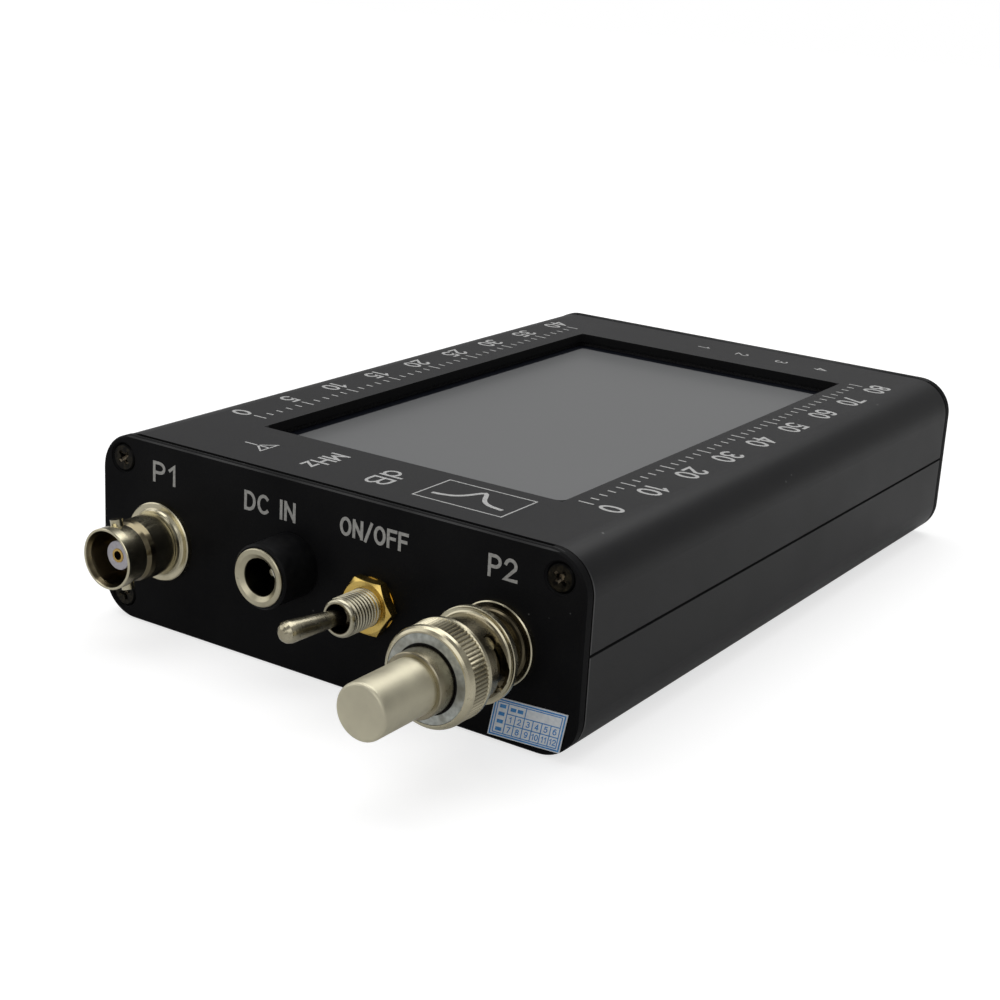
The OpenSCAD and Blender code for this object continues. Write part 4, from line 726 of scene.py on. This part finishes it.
# ---------------------------------------- display
# A touch glass with a black border lies under the window on a foam strip.
# Its film is satin and the display behind it is off, so it looks grey.
grey_half, border_fade = (0.02693, 0.04752), 0.00012
glass_film, tree, shader, place = new_finish("touch_film")
calc = partial(reckon, tree)
axes = axes_of(tree, place)
inside = 1
for axis, middle, half in zip("XY", window_middle, grey_half):
    away = calc("ABSOLUTE", calc("SUBTRACT", axes[axis], middle))
    within = spread(tree, away, half + border_fade, half - border_fade)
    inside = calc("MULTIPLY", inside, within)
clouds = noise_of(tree, place, 16, 0)
grey = blend_colours(
    tree, spread(tree, clouds, 0.1, 0.9), (0.14, 0.142, 0.144), (0.159, 0.161, 0.163)
)
tone = blend_colours(tree, inside, (0.004, 0.005, 0.009), grey)
paint(tree, shader, tone, spread(tree, clouds, 0.1, 0.9, 0.24, 0.35))
grain(tree, shader, noise_of(tree, place, 700, 1), 0.000004, 0.2)
dress(glass_film, "touch_glass")

foam = mottled(
    "foam", 0.9, [(0.006, 0.006, 0.007), (0.02, 0.02, 0.021)],
    2600, 4, relief=(0.0001, 0.8), span=(0.35, 0.65), specular=0.2,
)
dress(foam, "window_gasket", "battery_tape")

# ---------------------------------------- plated brass
# The ports, the cap, the charging ring and the toggle are turned from brass and plated
# with bright nickel, which is a little yellow. Fine tool rings run round each piece.
left_port, right_port, dc_jack = (-0.0324, 0.0147), (0.0312, 0.0147), (-0.006, 0.0171)
all_along = (-1, 1)
bore_r, bore_shade = 0.0042, (0.24, 0.2, 0.12)
tool_rings = (9000, 1, (0.01, 1, 0.01))


def from_axis(tree, place, axis):
    """How far a point lies from the line along Y through an x and a z."""
    flat = node(tree, "ShaderNodeVectorMath", {0: place, 1: (1, 0, 1)}, operation="MULTIPLY")
    inputs = {0: flat, 1: (axis[0], 0, axis[1])}
    return node(tree, "ShaderNodeVectorMath", inputs, operation="DISTANCE").outputs["Value"]


def turned_metal(name, dark, light, rough, ring=0.00001, stain=0.7, parts=()):
    """Metal turned about an axis along Y: cloudy in tone, with fine rings along Y.

    Each of the parts is a line along Y, a radius about it, the two ends of a stretch of it,
    and the tone of what lies inside. A later part covers an earlier one."""
    made, tree, shader, place = new_finish(name, metal=1.0)
    clouds = noise_of(tree, place, 260, 3)
    spots = noise_of(tree, place, 1500, 4)
    tone = blend_colours(tree, spread(tree, clouds, 0.3, 0.7), dark, light)
    stained = tuple(c * 0.55 for c in dark)
    tone = blend_colours(tree, spread(tree, spots, 0.66, 0.78, 0, stain), tone, stained)
    y = axes_of(tree, place)["Y"]
    soft = 0.00004
    for axis, radius, (near, far), inner in parts:
        inside = spread(tree, from_axis(tree, place, axis), radius + soft, radius - soft)
        for edge, before, beyond in ((near, 0, 1), (far, 1, 0)):
            limit = spread(tree, y, edge - soft, edge + soft, before, beyond)
            inside = reckon(tree, "MULTIPLY", inside, limit)
        tone = blend_colours(tree, inside, tone, inner)
    paint(tree, shader, tone, spread(tree, clouds, 0.3, 0.7, *rough))
    grain(tree, shader, noise_of(tree, place, *tool_rings), ring, 0.35)
    return made


def tint(made, mask, tone):
    """Lays a tone over a finish, where a mask made from its tree and place is 1."""
    tree = made.node_tree
    colour = tree.nodes["Principled BSDF"].inputs["Base Color"]
    place = node(tree, "ShaderNodeTexCoord").outputs["Object"]
    feed(tree, colour, blend_colours(tree, mask(tree, place), colour.links[0].from_socket, tone))


nickel_dark, nickel_light = (0.56, 0.51, 0.365), (0.69, 0.64, 0.47)
nickel = turned_metal("bright_nickel", nickel_dark, nickel_light, (0.14, 0.26))
dress(nickel, "port_washers", "port_ground_tags", "port_nuts", "dc_jack_pin")
# The charging jack's spring leaf gets a brighter metal of its own, as a painted highlight on its
# bend.
dress(turned_metal("leaf_highlight_metal", (0.8, 0.78, 0.7), (0.9, 0.88, 0.8), (0.45, 0.55)), "dc_jack_leaf")

# Painted shade, as darker tones: the cone behind the left mouth, the flange at the right,
# the left mouth's inner edge, which would show a bright flare, and both bores.
jack_nickel = turned_metal(
    "jack_nickel", nickel_dark, nickel_light, (0.16, 0.28),
    parts=[
        (left_port, 0.006, (-0.0753, -0.0737), (0.24, 0.205, 0.13)),
        (right_port, 0.0061, (-0.0753, -0.0675), (0.13, 0.11, 0.07)),
        (left_port, 0.00452, (-0.0794, -0.0785), (0.17, 0.14, 0.085)),
        (left_port, bore_r, all_along, bore_shade),
        (right_port, bore_r, all_along, bore_shade),
    ],
)
dress(jack_nickel, "left_port_body", "right_port_body")
# The hole of the charging ring is painted near black, as painted shade.
ring_nickel = turned_metal(
    "ring_nickel", (0.44, 0.4, 0.28), (0.58, 0.54, 0.4), (0.28, 0.4),
    parts=[(dc_jack, 0.00294, all_along, (0.03, 0.027, 0.02))],
)
dress(ring_nickel, "dc_jack_ring")

cap_nickel = turned_metal(
    "cap_nickel", (0.62, 0.58, 0.44), (0.72, 0.68, 0.52), (0.44, 0.54), stain=0.12
)
dress(cap_nickel, "cap_barrel")
# The cap's collar is the same nickel in a darker copy, as painted shade.
shaded_collar_nickel = turned_metal("shaded_collar_nickel", (0.27, 0.24, 0.17), (0.38, 0.345, 0.25), (0.2, 0.3))
dress(shaded_collar_nickel, "cap_body")

gold_plate = turned_metal("gold_plate", (0.55, 0.36, 0.11), (0.8, 0.56, 0.2), (0.18, 0.3))
dress(gold_plate, "port_contacts", "cap_pin", "display_header", "toggle_rocker", "toggle_tags")

# The coupling nut's knurl is darker between its teeth.
knurl_front, knurl_back = front_face - 0.0162, front_face - 0.0127
knurl_crest, knurl_root = 0.00718, 0.00706


def knurl_valleys(tree, place):
    """1 low between the teeth of the knurl, 0 elsewhere."""
    y = axes_of(tree, place)["Y"]
    valley = spread(tree, from_axis(tree, place, right_port), knurl_crest, knurl_root)
    beyond = reckon(tree, "GREATER_THAN", y, knurl_front)
    along = reckon(tree, "MULTIPLY", beyond, reckon(tree, "LESS_THAN", y, knurl_back))
    return reckon(tree, "MULTIPLY", valley, along)


# Within 6.3 mm of its axis the nut is painted darker, as painted shade.
nut_nickel = turned_metal(
    "nut_nickel", nickel_dark, nickel_light, (0.2, 0.32),
    parts=[(right_port, 0.0063, all_along, (0.25, 0.22, 0.15))],
)
tint(nut_nickel, knurl_valleys, (0.27, 0.24, 0.165))
dress(nut_nickel, "coupling_nut")

fluoro = mottled(
    "fluoropolymer", 0.45, [(0.54, 0.52, 0.57), (0.64, 0.62, 0.66)],
    1800, 3, relief=(0.00001, 0.4, *tool_rings), specular=0.4,
)
dress(fluoro, "port_insulators", "cap_insulator")

# ---------------------------------------- port cap
# The back ring of the coupling nut is pale zinc plate with a mottled, chalky bloom.
# A red rubber gasket and a load resistor are inside.
collar_gap_r, collar_gap_low_r = 0.00508, 0.00498
zinc_plate, tree, shader, place = new_finish("zinc_plate", metal=0.7)
bloom = noise_of(tree, place, 1100, 4)
smudge = noise_of(tree, place, 240, 2)
tone = blend_colours(tree, spread(tree, bloom, 0.35, 0.65), (0.42, 0.44, 0.41), (0.62, 0.645, 0.61))
tone = blend_colours(tree, spread(tree, smudge, 0.5, 0.66, 0, 0.6), tone, (0.25, 0.23, 0.17))
# The gap between the ring and the cap's collar is a dark line of painted shade.
collar_gap_shade = spread(tree, from_axis(tree, place, right_port), collar_gap_r, collar_gap_low_r)
tone = blend_colours(tree, collar_gap_shade, tone, (0.008, 0.007, 0.006))
ring_rough = spread(tree, bloom, 0.35, 0.65, 0.5, 0.36)
rough = reckon(tree, "ADD", ring_rough, reckon(tree, "MULTIPLY", collar_gap_shade, 0.4))
paint(tree, shader, tone, rough)
grain(tree, shader, bloom, 0.00004, 0.5)
dress(zinc_plate, "coupling_back_ring")

seal_rubber = mottled(
    "seal_rubber", 0.7, [(0.24, 0.05, 0.035), (0.36, 0.1, 0.07)],
    1500, 3, relief=(0.00002, 0.5), specular=0.3,
)
dress(seal_rubber, "cap_gasket")

glaze = mottled(
    "glazed_ceramic", 0.2, [(0.3, 0.45, 0.58), (0.4, 0.55, 0.66)],
    900, 2, relief=(0.00003, 0.4),
)
dress(glaze, "cap_resistor")

# ---------------------------------------- charging jack
# A moulded black barrel carries a bright countersunk ring, and a spring leaf bends into
# the hole just behind it. The chips and the toggle's case are moulded from the same black.
moulded = mottled(
    "moulded_black", (0.4, 0.52), [(0.0035, 0.0035, 0.004), (0.007, 0.007, 0.0075)],
    700, 3, relief=(0.00002, 0.5, 4000, 2), ior=1.18,
)
dress(
    moulded,
    "dc_jack_body", "toggle_case", "header_socket", "processor_chip", "radio_chips", "power_chips",
)

# ---------------------------------------- toggle
# A brass hex nut clamps the threaded bushing, and a bat lever leans out of it.
# The thread is one ridge that winds along the bushing. Its mouth, and the lever's root inside
# it, are painted dark, as painted shade.
yellow_brass = turned_metal("yellow_brass", (0.68, 0.45, 0.1), (0.88, 0.64, 0.2), (0.2, 0.32))
dress(yellow_brass, "toggle_nut", "toggle_washers", "toggle_plunger", "standoffs")

toggle = (0.0094, 0.0149)
bushing_mouth, bushing_r, mouth_r, thread_pitch = 0.0083, 0.00295, 0.00215, 0.00065
mouth_rim_r = mouth_r + 0.00012
root_r = bushing_r - 0.00034
plate_low, plate_high, plate_hole_r = -0.0032, -0.0024, 0.0026
inner_r, inner_end = 0.0024, 0.00615
shaded_from, shaded_to = -0.0795, -0.0745


def lever_root_shade(tree, place):
    """0 out on the lever, rising to 1 where it goes into the bushing."""
    return spread(tree, axes_of(tree, place)["Y"], shaded_from, shaded_to)


# Inside its mouth the bushing is painted near black, as painted shade.
bushing_nickel = turned_metal(
    "bushing_nickel", (0.45, 0.42, 0.31), (0.6, 0.56, 0.43), (0.22, 0.32),
    parts=[(toggle, mouth_rim_r, all_along, (0.07, 0.05, 0.03))],
)
lever_nickel = turned_metal(
    "lever_nickel", (0.4, 0.36, 0.25), (0.56, 0.52, 0.39), (0.2, 0.3), ring=0.00003
)
# The lever is painted darker towards its root in the bushing, as painted shade.
tint(lever_nickel, lever_root_shade, (0.09, 0.075, 0.05))
dress(lever_nickel, "toggle_lever")

# The core: a tube with a bevelled mouth, on a plate that closes the toggle's case.
thread_start, thread_end = 0.0004, bushing_mouth - 0.0007
core_sides, hole_sides, plate_half_x, plate_half_y = 64, 32, 0.0066, 0.00395
thread_rows, thread_turns = 481, (thread_end - thread_start) / thread_pitch
core_profile = [
    (plate_hole_r, plate_low), (root_r, plate_low), (root_r, thread_end),
    (bushing_r - 0.00005, thread_end + 0.0001), (bushing_r - 0.00008, bushing_mouth - 0.00035),
    (bushing_r - 0.00022, bushing_mouth - 0.00012), (bushing_r - 0.0004, bushing_mouth),
    (mouth_rim_r, bushing_mouth), (mouth_r + 0.00004, bushing_mouth - 0.00004),
    (mouth_r, bushing_mouth - 0.0002), (mouth_r, inner_end), (inner_r, inner_end),
    (inner_r, plate_high), (plate_hole_r, plate_high), (plate_hole_r, plate_low),
]
bm = bmesh.new()
lathe(bm, core_profile, core_sides)
low_outer = None
for z in (plate_low, plate_high):
    outer = [bm.verts.new((x * plate_half_x, y * plate_half_y, z)) for x, y in corners]
    fill_between(bm, outer, [bm.verts.new(p) for p in circle(root_r, hole_sides, z)])
    if low_outer:
        for k in range(4):
            m = (k + 1) % 4
            bm.faces.new((low_outer[k], low_outer[m], outer[m], outer[k]))
    low_outer = outer
bushing_core = plain_object("bushing_core", bm, bushing_nickel, 40)

# The ridge: a sheet whose rows wind round the core and whose columns rise to the crest.
thread_tree, given = new_tree(
    "wound_thread",
    [
        ("Turns", "Float"), ("Pitch", "Float"), ("Start", "Float"), ("Root", "Float"),
        ("Crest", "Float"), ("Rows", "Int"), ("Material", "Material"),
    ],
)
calc = partial(reckon, thread_tree)
inputs = {"Size X": 1, "Size Y": 1, "Vertices X": given["Rows"], "Vertices Y": 7}
flat_sheet = node(thread_tree, "GeometryNodeMeshGrid", inputs)
axes = axes_of(thread_tree, node(thread_tree, "GeometryNodeInputPosition"))
wound = calc("MULTIPLY", calc("ADD", axes["X"], 0.5), given["Turns"])
angle = calc("MULTIPLY", wound, 2 * math.pi)
flank = calc("MULTIPLY", calc("ABSOLUTE", axes["Y"]), 2)
rise = calc("MINIMUM", calc("MULTIPLY", calc("SUBTRACT", 1, flank), 1.5), 1)
depth = calc("SUBTRACT", given["Crest"], given["Root"])
radius = calc("ADD", given["Root"], calc("MULTIPLY", rise, depth))
climb = calc("MULTIPLY", calc("ADD", wound, axes["Y"]), given["Pitch"])
inputs = {
    "X": calc("MULTIPLY", radius, calc("COSINE", angle)),
    "Y": calc("MULTIPLY", radius, calc("SINE", angle)),
    "Z": calc("ADD", given["Start"], climb),
}
around = node(thread_tree, "ShaderNodeCombineXYZ", inputs)
wind = node(thread_tree, "GeometryNodeSetPosition", {"Geometry": flat_sheet, "Position": around})
weld = node(thread_tree, "GeometryNodeMergeByDistance", {"Geometry": wind, "Distance": 0.000002})
joined = node(thread_tree, "GeometryNodeJoinGeometry", {0: weld})
feed(thread_tree, joined.inputs[0], given["Geometry"])
finish_tree(thread_tree, joined, given)

toggle_bushing = grown(
    bushing_core,
    thread_tree,
    {
        "Turns": thread_turns, "Pitch": thread_pitch, "Start": thread_start, "Root": root_r,
        "Crest": bushing_r, "Rows": thread_rows, "Material": bushing_nickel,
    },
    "threaded_bushing",
    32,
)
toggle_bushing.data.transform(on_front(*toggle))
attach(toggle_bushing, "case")
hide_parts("toggle_bushing")

# ---------------------------------------- seal sticker
# A pale sticker with a plain printed blue table: a wide column at the left, a title row,
# and two rows of six small squares with the numbers 1 to 12.
seal_x, seal_z, seal_t = 0.037, 0.004, 0.00015
seal_w, seal_h, seal_lean, seal_tilt = 0.012, 0.006, 0.0013, math.radians(2.7)
rule_pen, border_pen, bar_pen, number_h = 0.00014, 0.00022, 0.00055, 0.00095
border_in, table_in_x, table_in_y, first_column_w = 0.00028, 0.0007, 0.0006, 0.0018
bar_half, title_bar_half, title_bar_columns = 0.0005, 0.00045, (0.6, 1.4)

seal_paper = mottled(
    "seal_paper", 0.38, [(0.7, 0.74, 0.78), (0.83, 0.86, 0.88)],
    1600, 3, relief=(0.00002, 0.5), specular=0.4,
)
dress(seal_paper, "seal_sticker")
blue_ink = mottled("blue_ink", 0.4, [(0.03, 0.2, 0.55), (0.1, 0.34, 0.68)], 2200, 2, specular=0.4)

lean = Matrix(((1, seal_lean / seal_h, 0, 0), (0, 1, 0, 0), (0, 0, 1, 0), (0, 0, 0, 1)))
seal_place = on_front(seal_x, seal_z, seal_t) @ Matrix.Rotation(seal_tilt, 4, "Z") @ lean
table_x0, table_x1 = -seal_w / 2 + table_in_x, seal_w / 2 - table_in_x
table_y0, table_y1 = -seal_h / 2 + table_in_y, seal_h / 2 - table_in_y
first_column = table_x0 + first_column_w
row_h = (table_y1 - table_y0) / 3
column_w = (table_x1 - first_column) / 6
title_x, title_y = first_column + 2 * column_w, table_y0 + 2 * row_h
rules = [
    [(table_x0, table_y0), (table_x1, table_y0)], [(table_x0, table_y1), (table_x1, table_y1)],
    [(table_x0, table_y0), (table_x0, table_y1)], [(table_x1, table_y0), (table_x1, table_y1)],
    [(first_column, table_y0), (first_column, table_y1)],
    [(first_column, table_y0 + row_h), (table_x1, table_y0 + row_h)],
    [(first_column, title_y), (table_x1, title_y)], [(title_x, title_y), (title_x, table_y1)],
]
for k in range(1, 6):
    x = first_column + k * column_w
    rules.append([(x, table_y0), (x, title_y)])
bm = bmesh.new()
for rule in rules:
    ribbon(bm, rule, rule_pen, seal_place)
for k in range(4):
    x, y = (table_x0 + first_column) / 2, table_y0 + (k + 0.5) * (table_y1 - table_y0) / 4
    ribbon(bm, [(x - bar_half, y), (x + bar_half, y)], bar_pen, seal_place)
for k in title_bar_columns:
    x, y = first_column + k * column_w, table_y1 - row_h / 2
    ribbon(bm, [(x - title_bar_half, y), (x + title_bar_half, y)], bar_pen, seal_place)
ribbon(bm, frame_line(seal_w / 2 - border_in, seal_h / 2 - border_in), border_pen, seal_place)
for number in range(12):
    x = first_column + (number % 6 + 0.5) * column_w
    y = table_y0 + (1.5 - number // 6) * row_h
    lettering(bm, str(number + 1), number_h, rule_pen, seal_place @ Matrix.Translation((x, y, 0)))
film("seal_print", bm, blue_ink, "case")

# ---------------------------------------- circuit boards
# Solder mask over glass cloth: the weave shows faintly, and the copper tracks under the
# mask stand out as a paler tone in straight runs.


def board_finish(name, mask, track):
    """Solder mask with straight copper tracks showing through, and a faint weave."""
    made, tree, shader, place = new_finish(name)
    inputs = {
        "Vector": place, "Scale": 320, "Mortar Size": 0.09, "Color1": (0, 0, 0, 1),
        "Color2": (0.25, 0.25, 0.25, 1), "Mortar": (1, 1, 1, 1),
    }
    runs = node(tree, "ShaderNodeTexBrick", inputs).outputs["Color"]
    weave = noise_of(tree, place, 3500, 1, (1, 0.15, 1))
    tone = blend_colours(tree, runs, mask, track)
    paint(tree, shader, tone, spread(tree, weave, 0.3, 0.7, 0.28, 0.42))
    grain(tree, shader, weave, 0.00002, 0.4)
    return made


dress(board_finish("green_mask", (0.012, 0.11, 0.04), (0.03, 0.2, 0.08)), "main_board")
dress(board_finish("blue_mask", (0.012, 0.04, 0.17), (0.03, 0.08, 0.3)), "display_board")

sheet_steel = mottled(
    "sheet_steel", (0.28, 0.42), [(0.43, 0.43, 0.44), (0.57, 0.57, 0.58)],
    2600, 2, relief=(0.00002, 0.4), stretch=(1, 0.03, 1), metal=0.95,
)
dress(
    sheet_steel,
    "display_frame", "board_screws", "rf_shield", "crystal", "coupling_spring", "dc_jack_nut",
)

ferrite = mottled(
    "ferrite", 0.55, [(0.035, 0.035, 0.038), (0.075, 0.075, 0.08)],
    1500, 4, relief=(0.00005, 0.6), specular=0.4,
)
dress(ferrite, "inductors")

# ---------------------------------------- display inside
# Behind the glass lie the liquid crystal cell and its frosted light guide.
# An amber film ribbon with fine copper tracks folds round the board's end.
cell = mottled("display_cell", 0.15, [(0.07, 0.075, 0.08), (0.1, 0.105, 0.11)], 60, 2)
dress(cell, "lcd_panel")

frosted = mottled(
    "frosted_guide", 0.55, [(0.74, 0.75, 0.78), (0.84, 0.85, 0.86)],
    2200, 2, relief=(0.00002, 0.5),
)
dress(frosted, "light_guide")

ribbon_film, tree, shader, place = new_finish("amber_film")
tracks = node(tree, "ShaderNodeTexWave", {"Vector": place, "Scale": 320}, bands_direction="X")
tracks = tracks.outputs["Fac"]
tone = blend_colours(tree, spread(tree, tracks, 0.4, 0.6), (0.42, 0.19, 0.03), (0.66, 0.36, 0.1))
paint(tree, shader, tone, 0.25)
grain(tree, shader, tracks, 0.00002, 0.4)
dress(ribbon_film, "display_ribbon")

# ---------------------------------------- battery and leads
# A foil pouch with soft creases, its white plug and socket, and thin leads in jackets
# of soft extruded plastic with faint draw lines.
pouch = mottled(
    "foil_pouch", (0.24, 0.38), [(0.44, 0.45, 0.47), (0.58, 0.59, 0.61)],
    130, 5, relief=(0.0003, 0.6), span=(0.35, 0.65), metal=0.9,
)
dress(pouch, "battery")

nylon = mottled(
    "white_nylon", 0.42, [(0.68, 0.66, 0.6), (0.77, 0.76, 0.71)],
    800, 3, relief=(0.00002, 0.4), specular=0.45,
)
dress(nylon, "battery_socket", "battery_plug")

for name, dark, light, leads in (
    ("red_jacket", (0.4, 0.02, 0.015), (0.5, 0.04, 0.03), ("battery_leads", "panel_leads")),
    ("brown_jacket", (0.2, 0.09, 0.04), (0.27, 0.13, 0.06), ("coax_leads",)),
):
    jacket = mottled(
        name, 0.48, [dark, light],
        3000, 2, relief=(0.00002, 0.5), stretch=(1, 0.05, 1), specular=0.4,
    )
    dress(jacket, *leads)
